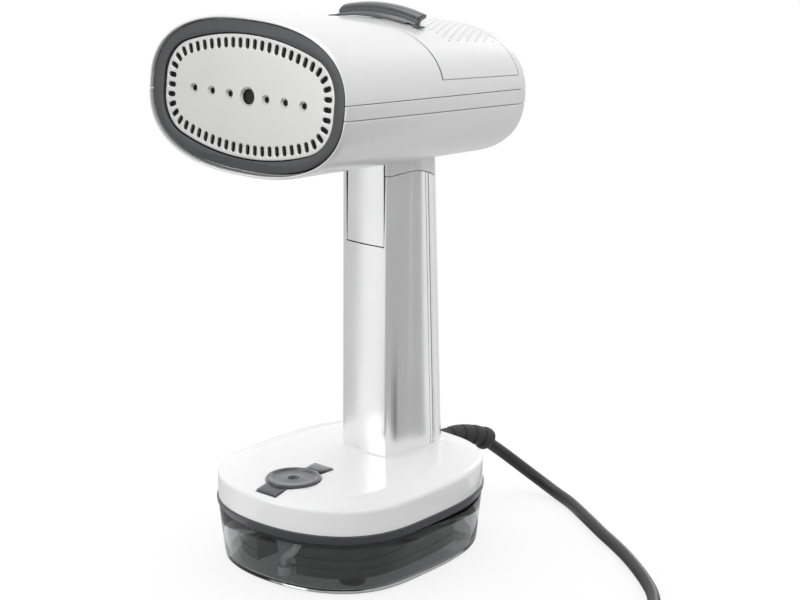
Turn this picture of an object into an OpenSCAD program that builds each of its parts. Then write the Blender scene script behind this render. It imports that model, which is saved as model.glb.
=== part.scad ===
// Handheld garment steamer that stands on its own water tank.
// The front is -Y and up is +Z. The origin is on the floor, under the middle of the steamer.
// The head is drawn in its own tilted frame: x across, y (depth) from the plate to the rear, z up.

/* [Head] */
// Half width of the head at the steam plate
head_front_w = 68.4; // [67:0.1:70]
// Half width of the head at its rear lip
head_rear_w = 61; // [59:0.1:63]
// Height of the crown above the head's axis
head_crown = 39.6; // [39:0.1:41]
// Depth of the belly below the axis at the plate
head_belly_front = 39.4; // [38.5:0.1:40.5]
// Depth of the belly below the axis at the rear
head_belly_rear = 31; // [30:0.1:32]
// Length of the head from the plate to the rear lip
head_length = 148; // [147:0.5:150]
// Lean of the head, which lowers its rear
head_tilt = 7.1; // [6.5:0.1:7.5]
// Height of the plate's middle above the floor
plate_height = 261.8; // [261:0.2:263]
// Distance of the plate's middle in front of the origin
plate_reach = 74.4; // [73.5:0.1:75]
// Squareness of the head's section, 2 is an ellipse
head_power = 2.45; // [2.3:0.05:2.6]
// Wall of the moulded shells
shell_wall = 2.4; // [2.2:0.1:2.6]
// Width of a seam between two shells
seam = 0.3; // [0.2:0.05:0.5]

/* [Steam plate] */
// Radius of the long arcs of the slot row
row_arc_r = 135; // [130:1:140]
// Radius of the row's corners
row_corner_r = 16; // [15:0.5:17]
// Half width of the slot row
row_half_w = 53.6; // [53:0.1:54]
// Half height of the slot row
row_half_h = 26.2; // [26:0.1:26.6]
// Length of one steam slot
slot_length = 5; // [4:0.1:5.4]
// Width of one steam slot
slot_width = 2.4; // [2:0.1:2.6]
// Steam slots in a quarter of the row
quarter_slots = 13; // [9:1:13]
// Spacing of the seven middle holes
hole_pitch = 12.6; // [12:0.1:13]
// Radius of the middle hole
main_hole_r = 3.9; // [3:0.1:4.2]
// Radius of the small holes
small_hole_r = 1.5; // [1:0.1:1.7]

/* [Steam switch] */
// Half width of the sliding switch
slider_half_w = 27.5; // [26:0.5:28]
// Height of the switch's lip above the head's axis
slider_top = 48; // [47.5:0.1:48.5]
// Radius of the switch's crown across the head
slider_arc_r = 112; // [110:1:116]
// Travel of the switch towards the rear
slider_travel = 5; // [4:0.5:5]

/* [Handle] */
// Half width of the handle
handle_half_w = 21; // [20.5:0.1:21.5]
// Front face of the handle at its foot
handle_front = 11.7; // [11.4:0.1:12]
// Rear face of the handle at its foot
handle_rear = 59.9; // [59.5:0.1:60.5]
// Rearward lean of the front face per millimetre of height
front_lean = 0.0128; // [0.012:0.0002:0.014]
// Forward lean of the rear face per millimetre of height
rear_lean = 0.0378; // [0.037:0.0002:0.039]
// Wall of the handle shells
handle_wall = 2.2; // [2:0.1:2.4]
// Radius of the arched collar seam
collar_r = 42; // [41.8:0.1:42.2]
// Height of the collar arch's centre
collar_height = 167.7; // [167:0.1:168.4]

/* [Trigger] */
// Half width of the steam trigger
trigger_half_w = 13.2; // [12.6:0.1:13.3]
// Lowest point of the trigger
trigger_foot = 169.5; // [169:0.1:170]
// Highest point of the trigger
trigger_top = 214.6; // [213:0.1:215]
// Radius of the trigger's pin
trigger_pin_r = 1.5; // [1.2:0.1:1.6]

/* [Base] */
// Half width of the base
base_half_w = 61.2; // [60.5:0.1:62]
// Height where the tank meets the grey band
band_foot = 29.5; // [29:0.1:30]
// Height where the band meets the cover
band_top = 34.4; // [34:0.1:34.8]
// Height of the flat top of the base cover
base_top = 52; // [51.8:0.1:52.2]
// Wall of the water tank
tank_wall = 2; // [1.8:0.1:2.2]
// Clearance of the tank floor above the stand
tank_foot = 0.6; // [0.5:0.1:0.8]

/* [Filler] */
// Distance of the fill plug in front of the origin
plug_reach = 44.3; // [44:0.1:44.6]
// Radius of the fill plug's disc
plug_disc_r = 14.6; // [14:0.1:14.8]
// Radius of the plug's stem
plug_stem_r = 7.4; // [7:0.1:7.6]
// Bore of the filler neck
neck_bore_r = 9.2; // [9:0.1:9.6]

/* [Cord] */
// Diameter of the mains cord
cord_d = 6.8; // [6.6:0.1:7]
// Height of the cord outlet above the floor
outlet_height = 41.5; // [41:0.1:42]

/* [Hidden] */
$fn = 48;

// Colours
pearl = "whitesmoke";
silver = "silver";
graphite = "dimgray";
casting = "darkgray";
smoke = "lightslategray";
rubber = "black";

// Fineness of the superellipse sections
head_steps = 56;
base_steps = 60;
sliver = 0.01;

// ---- Lofts and swept tubes ----

function bend(v, n) = sign(v) * pow(abs(v), 2 / n);
function unit(v) = v / norm(v);

// Solid skin over a list of rings, each counter-clockwise as seen from the last one
module loft(rings) {
    n = len(rings[0]);
    last = len(rings) - 1;
    polyhedron(
        points = [for (ring = rings) each ring],
        faces = concat(
            [[for (i = [0 : n - 1]) i]],
            [for (j = [0 : last - 1], i = [0 : n - 1]) let (k = (i + 1) % n)
                [j * n + i, (j + 1) * n + i, (j + 1) * n + k, j * n + k]],
            [[for (i = [n - 1 : -1 : 0]) last * n + i]]
        )
    );
}

function spline_at(a, b, c, d, u) =
    0.5 * (2 * b + (c - a) * u + (2 * a - 5 * b + 4 * c - d) * u * u + (3 * b - a - 3 * c + d) * u * u * u);
function smooth(p, parts) = let (last = len(p) - 1) concat(
    [for (i = [0 : last - 1], j = [0 : parts - 1])
        spline_at(p[max(i - 1, 0)], p[i], p[i + 1], p[min(i + 2, last)], j / parts)],
    [p[last]]
);
function heading(p, i) =
    i == 0 ? unit(p[1] - p[0])
    : i == len(p) - 1 ? unit(p[i] - p[i - 1])
    : unit(unit(p[i + 1] - p[i]) + unit(p[i] - p[i - 1]));
function carried(side, t) = unit(side - (side * t) * t);
function sides_along(p, side, i = 0) =
    i == len(p) ? []
    : let (s = carried(side, heading(p, i))) concat([s], sides_along(p, s, i + 1));

// Round tube along the points p, with one radius for each point or one for all
module tube(p, r, sides = 8, first_side = [0, 0, 1]) {
    across = sides_along(p, first_side);
    loft([for (i = [0 : len(p) - 1]) let (
            t = heading(p, i),
            up = cross(t, across[i]),
            radius = is_list(r) ? r[i] : r
        ) [for (k = [0 : sides - 1])
            p[i] + radius * (cos(360 * k / sides) * across[i] + sin(360 * k / sides) * up)]]);
}

// ---- Head sections ----

function head_w(s) = head_front_w + (head_rear_w - head_front_w) * s / head_length;
function head_belly(s) = head_belly_front + (head_belly_rear - head_belly_front) * s / head_length;
function head_mid(s) = (head_crown - head_belly(s)) / 2;
function head_h(s) = (head_crown + head_belly(s)) / 2;
function head_ring(s, inset) = [for (i = [0 : head_steps - 1]) let (t = 360 * i / head_steps) [
    (head_w(s) - inset) * bend(cos(t), head_power),
    s,
    head_mid(s) + (head_h(s) - inset) * bend(sin(t), head_power)
]];

// Depths along the head
bezel_back = 3.2;
plate_face = 0.8;
plate_back = 3;
chamber_back = 20;
lid_back = 26;
cover_start = 75.2;
cover_end = 142.5;
cap_seat = 145;

module in_head() {
    translate([0, -plate_reach, plate_height]) rotate([-head_tilt, 0, 0]) children();
}

// Extrudes a front view outline from the given depth towards the plate
module at_depth(depth, thickness) {
    translate([0, depth, 0]) rotate([90, 0, 0]) linear_extrude(thickness) children();
}

module head_skin() {
    loft([
        head_ring(head_length + 0.6, 1.2), head_ring(head_length - 1, 0), head_ring(0, 0),
        head_ring(-1.2, 0.5), head_ring(-1.7, 1.2)
    ]);
}

// Cavity with a seat for the rear cap and a shoulder for the bezel
module head_cavity() {
    seat_inset = shell_wall + 1.4;
    loft([
        head_ring(head_length + 2, shell_wall), head_ring(cap_seat, shell_wall),
        head_ring(cap_seat, seat_inset), head_ring(cap_seat - 2, seat_inset),
        head_ring(cap_seat - 2, shell_wall), head_ring(9, shell_wall), head_ring(7, seat_inset),
        head_ring(bezel_back, seat_inset), head_ring(bezel_back, 1.55), head_ring(-3, 1.55)
    ]);
}

module head_shell() {
    difference() {
        head_skin();
        head_cavity();
    }
}

// Space above or below a seam line that climbs towards the rear
module seam_side(height, slope, above) {
    translate([-90, 0, height]) rotate([atan(slope), 0, 0])
        translate([0, -20, above ? 0 : -100]) cube([180, 200, 100]);
}

belt_upper = 3.9;
belt_upper_slope = 0.0342;
belt_lower = -3.7;
belt_lower_slope = 0.0328;
cover_sill = 13;
cover_sill_slope = 0.02;

// Opening of the rear top cover, made smaller by the margin
module cover_zone(margin) {
    intersection() {
        seam_side(cover_sill + margin, cover_sill_slope, true);
        translate([-90, cover_start + margin, -10])
            cube([180, cover_end - cover_start - 2 * margin, 80]);
    }
}

// Sunk frame inside the upper shell that the rear cover rests on
module cover_ledge() {
    ledge_width = 3;
    difference() {
        intersection() {
            difference() {
                loft([head_ring(cover_end + 4, shell_wall - 0.2), head_ring(cover_start - 4, shell_wall - 0.2)]);
                loft([head_ring(cover_end + 5, shell_wall + 1.2), head_ring(cover_start - 5, shell_wall + 1.2)]);
            }
            cover_zone(-1.2);
        }
        cover_zone(ledge_width);
        // Room for the cover's own wall
        difference() {
            cover_zone(0);
            loft([head_ring(cover_end + 9, shell_wall + 0.02), head_ring(cover_start - 9, shell_wall + 0.02)]);
        }
    }
}

module head_upper_shell() {
    color(pearl) in_head() {
        difference() {
            intersection() {
                head_shell();
                seam_side(belt_upper + seam / 2, belt_upper_slope, true);
            }
            cover_zone(0);
        }
        cover_ledge();
    }
}

module head_lower_shell() {
    neck_top = 232;
    color(pearl) difference() {
        union() {
            in_head() intersection() {
                head_shell();
                seam_side(belt_lower - seam / 2, belt_lower_slope, false);
            }
            difference() {
                loft([handle_ring(190, 0), handle_ring(neck_top, 0)]);
                in_head() loft([head_ring(150, shell_wall - 0.4), head_ring(-1, shell_wall - 0.4)]);
            }
        }
        loft([handle_ring(180, handle_wall), handle_ring(neck_top + 2, handle_wall)]);
        collar_zone(collar_r + seam / 2);
        translate([-trigger_half_w - 1, 0, 180]) cube([2 * trigger_half_w + 2, 24, 36.4]);
    }
}

module trim_strip(right) {
    color(pearl) in_head() intersection() {
        difference() {
            head_skin();
            loft([
                head_ring(head_length + 2, shell_wall), head_ring(bezel_back, shell_wall),
                head_ring(bezel_back, 1.55), head_ring(-3, 1.55)
            ]);
        }
        seam_side(belt_upper - seam / 2, belt_upper_slope, false);
        seam_side(belt_lower + seam / 2, belt_lower_slope, true);
        translate([right ? 0 : -90, -10, -40]) cube([90, 180, 80]);
    }
}

module left_trim() trim_strip(false);
module right_trim() trim_strip(true);

module rear_top_cover() {
    slot_half_w = 4.5;
    slot_start = 90.9;
    slot_end = 99.9;
    color(pearl) in_head() difference() {
        intersection() {
            difference() {
                loft([head_ring(head_length, 0), head_ring(60, 0)]);
                loft([head_ring(head_length + 2, shell_wall), head_ring(58, shell_wall)]);
            }
            cover_zone(seam);
        }
        translate([-slot_half_w, slot_start, 30]) cube([2 * slot_half_w, slot_end - slot_start, 20]);
    }
}

module rear_cap() {
    color(pearl) in_head() difference() {
        loft([
            head_ring(151.4, 30), head_ring(151.2, 18), head_ring(150.6, 9), head_ring(149.4, 4),
            head_ring(148.2, 2.7), head_ring(cap_seat, 2.7)
        ]);
        loft([head_ring(148.8, 20), head_ring(147.6, 8), head_ring(cap_seat - 1, 5)]);
    }
}

// ---- Steam plate and chamber ----

// The slot row is made of long arcs, corner arcs and short straight sides
row_corner_x = row_half_w - row_corner_r;
row_arc_z = row_half_h - row_arc_r;
row_arc_angle = asin(row_corner_x / (row_arc_r - row_corner_r));
row_corner_z = row_arc_z + (row_arc_r - row_corner_r) * cos(row_arc_angle);
row_arc_length = row_arc_r * row_arc_angle * PI / 180;
row_corner_length = row_corner_r * (90 - row_arc_angle) * PI / 180;
slot_pitch = (row_arc_length + row_corner_length + row_corner_z) / (quarter_slots + 0.5);

// The row's outline, grown by the offset
module row_outline(grow) {
    meet_x = row_corner_x + (row_corner_r + grow) * sin(row_arc_angle);
    arc_r = row_arc_r + grow;
    intersection() {
        translate([0, row_arc_z]) circle(arc_r, $fn = 128);
        translate([0, -row_arc_z]) circle(arc_r, $fn = 128);
        square([2 * meet_x, 80], center = true);
    }
    for (x = [-1, 1], z = [-1, 1]) {
        translate([x * row_corner_x, z * row_corner_z]) circle(row_corner_r + grow);
    }
    square([2 * (row_half_w + grow), 2 * row_corner_z], center = true);
}

// Angle of the row's normal, from upright, at a distance u along a quarter of the row
function row_angle(u) =
    u < row_arc_length ? u / row_arc_r * 180 / PI
    : u < row_arc_length + row_corner_length ? row_arc_angle + (u - row_arc_length) / row_corner_r * 180 / PI
    : 90;
function row_place(u) = let (a = row_angle(u))
    u < row_arc_length ? [row_arc_r * sin(a), row_arc_z + row_arc_r * cos(a)]
    : u < row_arc_length + row_corner_length
        ? [row_corner_x + row_corner_r * sin(a), row_corner_z + row_corner_r * cos(a)]
    : [row_half_w, row_arc_length + row_corner_length + row_corner_z - u];

module steam_slot() {
    straight = slot_length - slot_width;
    square([slot_width, straight], center = true);
    for (end = [-1, 1]) translate([0, end * straight / 2]) circle(slot_width / 2, $fn = 16);
}

module slot_row() {
    for (k = [0 : quarter_slots - 1], x = [-1, 1], z = [-1, 1]) {
        u = (k + 0.5) * slot_pitch;
        place = row_place(u);
        translate([x * place[0], z * place[1]]) rotate(-x * z * row_angle(u)) steam_slot();
    }
    for (x = [-1, 1]) translate([x * row_half_w, 0]) rotate(90) steam_slot();
}

module bezel_ring() {
    bezel_inset = 2.05;
    bezel_lift = 0.4;
    outline = [for (p = head_ring(0, bezel_inset)) [p[0], p[2] + bezel_lift]];
    color(graphite) in_head() at_depth(bezel_back, 3.5) difference() {
        polygon(outline);
        row_outline(5);
    }
}

module steam_plate() {
    dimple_r = 2.6;
    color(silver) in_head() difference() {
        at_depth(plate_back, plate_back - plate_face) difference() {
            row_outline(4.5);
            slot_row();
            circle(main_hole_r);
            for (k = [-3 : 3]) if (k != 0) translate([k * hole_pitch, 0]) circle(small_hole_r, $fn = 24);
        }
        for (k = [-3 : 3]) if (k != 0) translate([k * hole_pitch, plate_face - sliver, 0])
            rotate([-90, 0, 0]) cylinder(h = 0.8, r1 = dimple_r, r2 = small_hole_r, $fn = 24);
    }
}

module chamber_gasket() {
    outline = [for (p = head_ring(7, shell_wall + 1.5)) [p[0], p[2]]];
    color(rubber) in_head() at_depth(6.8, 6.8 - bezel_back) difference() {
        polygon(outline);
        row_outline(4.55);
    }
}

heater_r = 4;
heater_rise = 13;
heater_turn_x = -24;
heater_end_x = 34;
terminal_r = 1.4;

// U-shaped path of the heating element, as a solid of the given radius
module heater_path(r) {
    for (z = [-1, 1]) translate([heater_turn_x, chamber_back, z * heater_rise]) rotate([0, 90, 0])
        cylinder(h = heater_end_x - heater_turn_x, r = r);
    translate([heater_turn_x, chamber_back, 0]) rotate([90, 0, 0]) rotate(90)
        rotate_extrude(angle = 180) translate([heater_rise, 0]) circle(r);
}

// Room for the heating element and its two terminals
module heater_channel() {
    heater_path(heater_r);
    for (z = [-1, 1]) translate([heater_end_x - 1, chamber_back, z * heater_rise]) rotate([0, 90, 0])
        cylinder(h = 30, r = terminal_r + 0.6);
}

screw_spots = [[-44, 0], [44, 0], [-30, 20], [30, 20], [-30, -20], [30, -20]];

module steam_chamber() {
    steam_space = 9;
    color(casting) in_head() difference() {
        at_depth(chamber_back, chamber_back - plate_back) row_outline(4.5);
        difference() {
            at_depth(steam_space, steam_space - plate_back + 1) row_outline(2.8);
            for (x = [-36, -12, 12, 36]) translate([x - 1, plate_back, -14]) cube([2, 8, 28]);
        }
        heater_channel();
        translate([0, 8, 0]) rotate([-90, 0, 0]) cylinder(h = 13, r = 3);
        for (p = screw_spots) translate([p[0], 13, p[1]]) rotate([-90, 0, 0]) cylinder(h = 8, r = 1.5);
    }
}

module chamber_lid() {
    color(casting) in_head() difference() {
        at_depth(lid_back, lid_back - chamber_back) row_outline(0);
        heater_channel();
        translate([0, 19, 0]) rotate([-90, 0, 0]) cylinder(h = 8, r = 3);
        for (p = screw_spots) translate([p[0], 19, p[1]]) rotate([-90, 0, 0]) cylinder(h = 8, r = 1.7);
    }
}

module chamber_screws() {
    color(silver) in_head() for (p = screw_spots) translate([p[0], 14, p[1]]) rotate([-90, 0, 0]) {
        cylinder(h = lid_back - 14, r = 1.45);
        translate([0, 0, lid_back - 14]) cylinder(h = 2, r = 3);
    }
}

module heating_element() {
    color(silver) in_head() {
        heater_path(heater_r);
        for (z = [-1, 1]) translate([heater_end_x, chamber_back, z * heater_rise]) rotate([0, 90, 0])
            cylinder(h = 25, r = terminal_r);
    }
}

module thermostat() {
    color("burlywood") in_head() translate([-16, lid_back, 0]) rotate([-90, 0, 0]) {
        cylinder(h = 3, r = 7);
        cylinder(h = 9, r = 5.5);
        for (x = [-4, 4]) translate([x - 0.4, -3, 8]) cube([0.8, 6, 7]);
    }
}

module thermal_fuse() {
    color("lightgray") in_head() translate([8, lid_back + 2, -10]) {
        rotate([0, 90, 0]) cylinder(h = 12, r = 2);
        translate([-2, -2, -2.6]) cube([2, 6, 5.2]);
        translate([12, -2, -2.6]) cube([2, 6, 5.2]);
    }
}

module steam_nozzle() {
    color("goldenrod") in_head() translate([0, chamber_back, 0]) rotate([-90, 0, 0]) difference() {
        union() {
            cylinder(h = 6, r = 2.95);
            translate([0, 0, 6]) cylinder(h = 3, r = 4.6);
            cylinder(h = 16, r = 2.6);
        }
        translate([0, 0, -1]) cylinder(h = 18, r = 1.4);
    }
}

// ---- Steam switch on the crown ----

// Radius that fits the crown across the switch
crown_fit_r = 177;

// Cylinder along the head that follows its crown, raised by the gap
module crown_cylinder(gap) {
    translate([0, 70, head_crown + gap - crown_fit_r]) rotate([-90, 0, 0])
        cylinder(h = 40, r = crown_fit_r, $fn = 256);
}

module slider_switch() {
    // Section of the switch as [height above its foot arc, depth]
    section = [
        [-2, 90.8], [0.5, 90.8], [2.3, 92], [3.6, 93.9], [3.6, 94.5], [4.4, 94.9], [6.2, 94.5],
        [7.4, 95.7], [8.2, 98.4], [8.3, 99.6], [7.4, 100.6], [6.4, 100.4], [4.6, 97.5], [2.3, 97.1],
        [0.5, 96.6], [-2, 96.6]
    ];
    foot_r = slider_arc_r - 8.4;
    foot_half_w = slider_half_w + 5.5;
    spread = 30;
    inner_top = head_crown - shell_wall;
    color(graphite) in_head() {
        difference() {
            union() {
                intersection() {
                    translate([0, 0, slider_top - slider_arc_r]) rotate([-90, 0, 0])
                        rotate(-90 - spread / 2) rotate_extrude(angle = spread, $fn = 256)
                            polygon([for (p = section) [foot_r + p[0], p[1]]]);
                    translate([-slider_half_w, 80, 30]) cube([2 * slider_half_w, 30, 30]);
                }
                intersection() {
                    crown_cylinder(1.4);
                    translate([-foot_half_w, 90.6, 30]) cube([2 * foot_half_w, 6, 15]);
                }
            }
            crown_cylinder(0.5);
            // Notches at the foot of both ends
            for (x = [-26.9, 22.4]) translate([x, 88, head_crown - 0.9]) cube([4.5, 4.6, 1.2]);
        }
        translate([-3.6, 91.2, inner_top - 1]) cube([7.2, 3.2, 5]);
        translate([-6.5, 89.8, inner_top - 2.6]) cube([13, 6.8, 2]);
    }
}

// Body of the slide switch, hung from the rear cover by two ears
module slide_switch() {
    inner_top = head_crown - shell_wall - 0.03;
    color(rubber) in_head() {
        translate([-6, 82, 24]) cube([12, 28, 8.5]);
        for (s = [82, 107]) translate([-2, s, 24]) cube([4, 3, inner_top - 24]);
    }
}

// ---- Handle ----

handle_foot = base_top;
function grip_front(z) = handle_front + (z - handle_foot) * front_lean;
function grip_rear(z) = handle_rear - (z - handle_foot) * rear_lean;

// Half of the handle's outline, from the middle of the front to the rear corner
function handle_half(z, d) = let (
    crease = 14,
    round_w = handle_half_w - crease - d,
    round_l = 12.4 - d,
    corner_y = grip_front(z) + 13.2,
    rear_r = 11 - d,
    rear_y = grip_rear(z) - 11
) concat(
    [for (x = [0, 7]) [x, grip_front(z) + d + 0.8 * pow(x / crease, 2), z]],
    [for (a = [-90 : 15 : 0]) [crease + round_w * cos(a), corner_y + round_l * sin(a), z]],
    [for (a = [0 : 15 : 90]) [handle_half_w - 11 + rear_r * cos(a), rear_y + rear_r * sin(a), z]]
);
function handle_ring(z, d) = let (half = handle_half(z, d), n = len(half)) concat(
    half,
    [for (i = [n - 1 : -1 : 1]) [-half[i][0], half[i][1], z]]
);

// Everything below the arched collar seam
module collar_zone(r) {
    translate([-40, 26.3, collar_height]) rotate([0, 90, 0]) cylinder(h = 80, r = r, $fn = 96);
    translate([-40, 26.3 - r, 40]) cube([80, 2 * r, collar_height - 40]);
}

// Space in front of the upright seam between the handle shells
module grip_front_zone(shift) {
    seam_foot = 46;
    seam_lean = atan(0.0338);
    translate([-40, seam_foot + shift, handle_foot]) rotate([seam_lean, 0, 0])
        translate([0, -80, -20]) cube([80, 80, 220]);
}

module grip_tube(outset, inset) {
    difference() {
        loft([handle_ring(handle_foot, outset), handle_ring(212, outset)]);
        loft([handle_ring(handle_foot - 1, inset), handle_ring(214, inset)]);
    }
}

pin_y = 22;
pin_z = 173;
seam_strip = 1;
post_x = 16.3;
front_post_y = 27;
rear_post_y = 49;

module handle_front_shell() {
    opening_top = 220;
    opening_foot = trigger_foot - 0.5;
    inner_half_w = 15;
    color(silver) difference() {
        union() {
            intersection() {
                grip_tube(0, handle_wall);
                grip_front_zone(-seam_strip);
                collar_zone(collar_r - seam / 2);
            }
            for (x = [-1, 1]) {
                // Bosses for the trigger's pin
                translate([x > 0 ? inner_half_w : -19.4, pin_y, pin_z]) rotate([0, 90, 0])
                    cylinder(h = 4.4, r = 3.5);
                // Screw posts at the foot
                translate([x * post_x, front_post_y, handle_foot]) cylinder(h = 14, r = 3.2);
            }
        }
        // Opening for the trigger, a little wider at its top
        translate([0, 22, 0]) rotate([90, 0, 0]) linear_extrude(30) polygon([
            [-trigger_half_w - 0.5, opening_foot], [trigger_half_w + 0.5, opening_foot],
            [trigger_half_w + 1, opening_top], [-trigger_half_w - 1, opening_top]
        ]);
        translate([-17, pin_y, pin_z]) rotate([0, 90, 0]) cylinder(h = 34, r = trigger_pin_r + 0.03);
        for (x = [-post_x, post_x]) translate([x, front_post_y, handle_foot - 1]) cylinder(h = 13, r = 1.3);
    }
}

module handle_rear_shell() {
    color(silver) difference() {
        union() {
            difference() {
                intersection() {
                    grip_tube(0, handle_wall);
                    collar_zone(collar_r - seam / 2);
                }
                grip_front_zone(seam_strip);
            }
            // Sunk strip that fills the seam between the shells
            difference() {
                intersection() {
                    grip_tube(0.6, handle_wall);
                    collar_zone(collar_r - seam / 2);
                    grip_front_zone(seam_strip + 0.5);
                }
                grip_front_zone(-seam_strip);
            }
            for (x = [-post_x, post_x]) translate([x, rear_post_y, handle_foot]) cylinder(h = 14, r = 3.2);
            // Shelves that carry the switch and the trigger's spring
            translate([-5, 26, 190]) cube([12, 27.6, 2.4]);
            translate([-5, 30, 178]) cube([10, 24, 2.4]);
            translate([-5, 30, 178]) cube([10, 2, 11]);
        }
        for (x = [-post_x, post_x]) translate([x, rear_post_y, handle_foot - 1]) cylinder(h = 13, r = 1.3);
    }
}

handle_screw_spots = [for (x = [-post_x, post_x], y = [front_post_y, rear_post_y]) [x, y]];

module handle_screws() {
    color(silver) for (p = handle_screw_spots) translate([p[0], p[1], 0]) {
        translate([0, 0, 49.2]) cylinder(h = 13, r = 1.25);
        translate([0, 0, 47.6]) cylinder(h = 1.6, r = 2.7);
    }
}

module trigger() {
    depth = 7;
    skin = 1.8;
    color(silver) difference() {
        union() {
            difference() {
                intersection() {
                    loft([handle_ring(160, 0.15), handle_ring(trigger_top, 0.15)]);
                    translate([-trigger_half_w, 0, trigger_foot])
                        cube([2 * trigger_half_w, 14 + depth, trigger_top - trigger_foot]);
                }
                translate([-trigger_half_w + skin, 14 + skin, trigger_foot + skin])
                    cube([2 * (trigger_half_w - skin), depth, trigger_top - trigger_foot - 2 * skin]);
            }
            translate([-trigger_half_w, pin_y, pin_z]) rotate([0, 90, 0])
                cylinder(h = 2 * trigger_half_w, r = 3.2);
            // Rib that presses the switch
            translate([-1.5, 15, 197]) cube([3, 7.6, 8]);
            // Seat of the return spring
            translate([0, 14.8, 184]) rotate([-90, 0, 0]) cylinder(h = 3.2, r = 3.6);
        }
        translate([-20, pin_y, pin_z]) rotate([0, 90, 0]) cylinder(h = 40, r = trigger_pin_r + 0.05);
    }
}

module trigger_pin() {
    color(silver) translate([-16.8, pin_y, pin_z]) rotate([0, 90, 0]) cylinder(h = 33.6, r = trigger_pin_r);
}

// Compression spring between the trigger and the shelf of the rear shell
module trigger_spring() {
    turns = 5;
    steps = 8;
    spring_r = 2.8;
    wire_r = 0.35;
    start = 18 + wire_r;
    length = 12 - 2 * wire_r;
    color(silver) tube(
        [for (i = [0 : turns * steps]) let (t = i / steps)
            [spring_r * cos(360 * t), start + length * t / turns, 184 + spring_r * sin(360 * t)]],
        wire_r, 6, [1, 0, 0]
    );
}

module micro_switch() {
    color(rubber) {
        translate([-3.2, 26.4, 192.4]) cube([6.4, 11, 16]);
        translate([-1.5, 25.2, 199]) cube([3, 1.2, 4]);
        for (z = [195, 205]) translate([-0.5, 37.4, z]) cube([1, 4, 1]);
    }
}

module water_tube() {
    route = [
        [4, -17, 40.5], [4, -16.8, 43.2], [4.6, -11, 45], [5, 6, 45.6], [5, 22, 46.6], [5.2, 33, 54], [6, 36, 66],
        [12, 38, 92], [12.4, 38, 150], [12, 38, 196], [10, 40, 216], [6, 34, 232], [3, 10, 246],
        [0.5, -18, 253.5], [0, -38.4, 257.3]
    ];
    color("gainsboro") tube(smooth(route, 2), 2.3, 8, [1, 0, 0]);
}

module wire_loom() {
    route = [
        [0, 67.7, outlet_height], [0, 60, 41.3], [-2, 50, 42], [-5, 41, 47], [-5.4, 38, 58],
        [-7, 38, 68], [-12, 39, 92], [-12.4, 39, 150], [-12, 40, 196], [-11, 44, 216],
        [-13, 36, 230], [-16, 8, 242], [-17, -20, 249], [-16, -31, 254.6]
    ];
    color(rubber) tube(smooth(route, 2), 2.4, 8, [1, 0, 0]);
}

// ---- Base ----

front_reach = 58.9;
rear_reach = 80;
front_centre = -10.7;
rear_centre = -5.7;
front_power = 2.75;
nose_power = 2.15;
rear_power = 2.8;

// Outline of the base at a height, moved inwards by the inset
function base_outline(inset) = concat(
    [for (i = [0 : base_steps / 2]) let (t = 360 * i / base_steps) [
        (base_half_w - inset) * bend(cos(t), rear_power),
        rear_centre + (rear_reach - inset) * bend(sin(t), rear_power)
    ]],
    [for (i = [base_steps / 2 : base_steps]) let (t = 360 * i / base_steps) [
        (base_half_w - inset) * bend(cos(t), nose_power),
        front_centre + (front_reach - inset) * bend(sin(t), front_power)
    ]]
);
function base_ring(z, inset) = [for (p = base_outline(inset)) [p[0], p[1], z]];

module slab(z, thickness, inset) {
    translate([0, 0, z]) linear_extrude(thickness) polygon(base_outline(inset));
}

cover_ceiling = 49.2;
plate_foot = 30.7;
plate_top = 33.4;
chassis_screw_spots = [[-46, 42], [46, 42], [-26, 61], [26, 61]];
plug_hinge_y = -29;
plug_hinge_z = 52.5;
plug_floor = 50.7;
flange_r = 6.4;

// Pocket in the cover that the fill plug and its tab lie in
module plug_pocket() {
    translate([0, -plug_reach, plug_floor]) cylinder(h = 5, r = plug_disc_r + 0.5);
    translate([-7.4, -66, 48.8]) cube([14.8, 9, 6]);
    translate([-6.8, -40, plug_floor]) cube([13.6, 20.2, 6]);
}

module base_cover() {
    passage_half_w = 9;
    color(pearl) difference() {
        union() {
            difference() {
                loft([
                    base_ring(band_top, 0), base_ring(47.4, 0), base_ring(48.4, 0.5),
                    base_ring(48.9, 1.5), base_ring(50.6, 9.5), base_ring(51.8, 12.5),
                    base_ring(base_top, 16)
                ]);
                loft([
                    base_ring(band_top - 1, shell_wall), base_ring(45.6, shell_wall),
                    base_ring(47.4, 8), base_ring(cover_ceiling, 15)
                ]);
            }
            // Raised foot ring that the handle stands in
            difference() {
                loft([handle_ring(51, -3), handle_ring(52.6, -2.6), handle_ring(53.6, -1)]);
                loft([handle_ring(base_top, -0.15), handle_ring(55, -0.15)]);
            }
            translate([0, -plug_reach, 46.5]) cylinder(h = 4.4, r = 13);
            translate([-11, -65.5, 46.4]) cube([22, 12, 2.2]);
            for (p = chassis_screw_spots) translate([p[0], p[1], plate_top]) cylinder(h = 14.4, r = 3.2);
        }
        plug_pocket();
        for (p = chassis_screw_spots) translate([p[0], p[1], plate_top - 1]) cylinder(h = 10, r = 1.45);
        translate([0, -plug_reach, 40]) cylinder(h = 20, r = 11.2);
        translate([-passage_half_w, 20, 45]) cube([2 * passage_half_w, 32, 12]);
        for (p = handle_screw_spots) translate([p[0], p[1], 45]) cylinder(h = 10, r = 1.5);
        // Cord outlet, wider inside for the relief's flange
        translate([0, 66, outlet_height]) rotate([-90, 0, 0]) cylinder(h = 12, r = 5.6);
        translate([0, 64, outlet_height]) rotate([-90, 0, 0]) cylinder(h = 7.95, r = flange_r + 0.2);
    }
}

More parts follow.
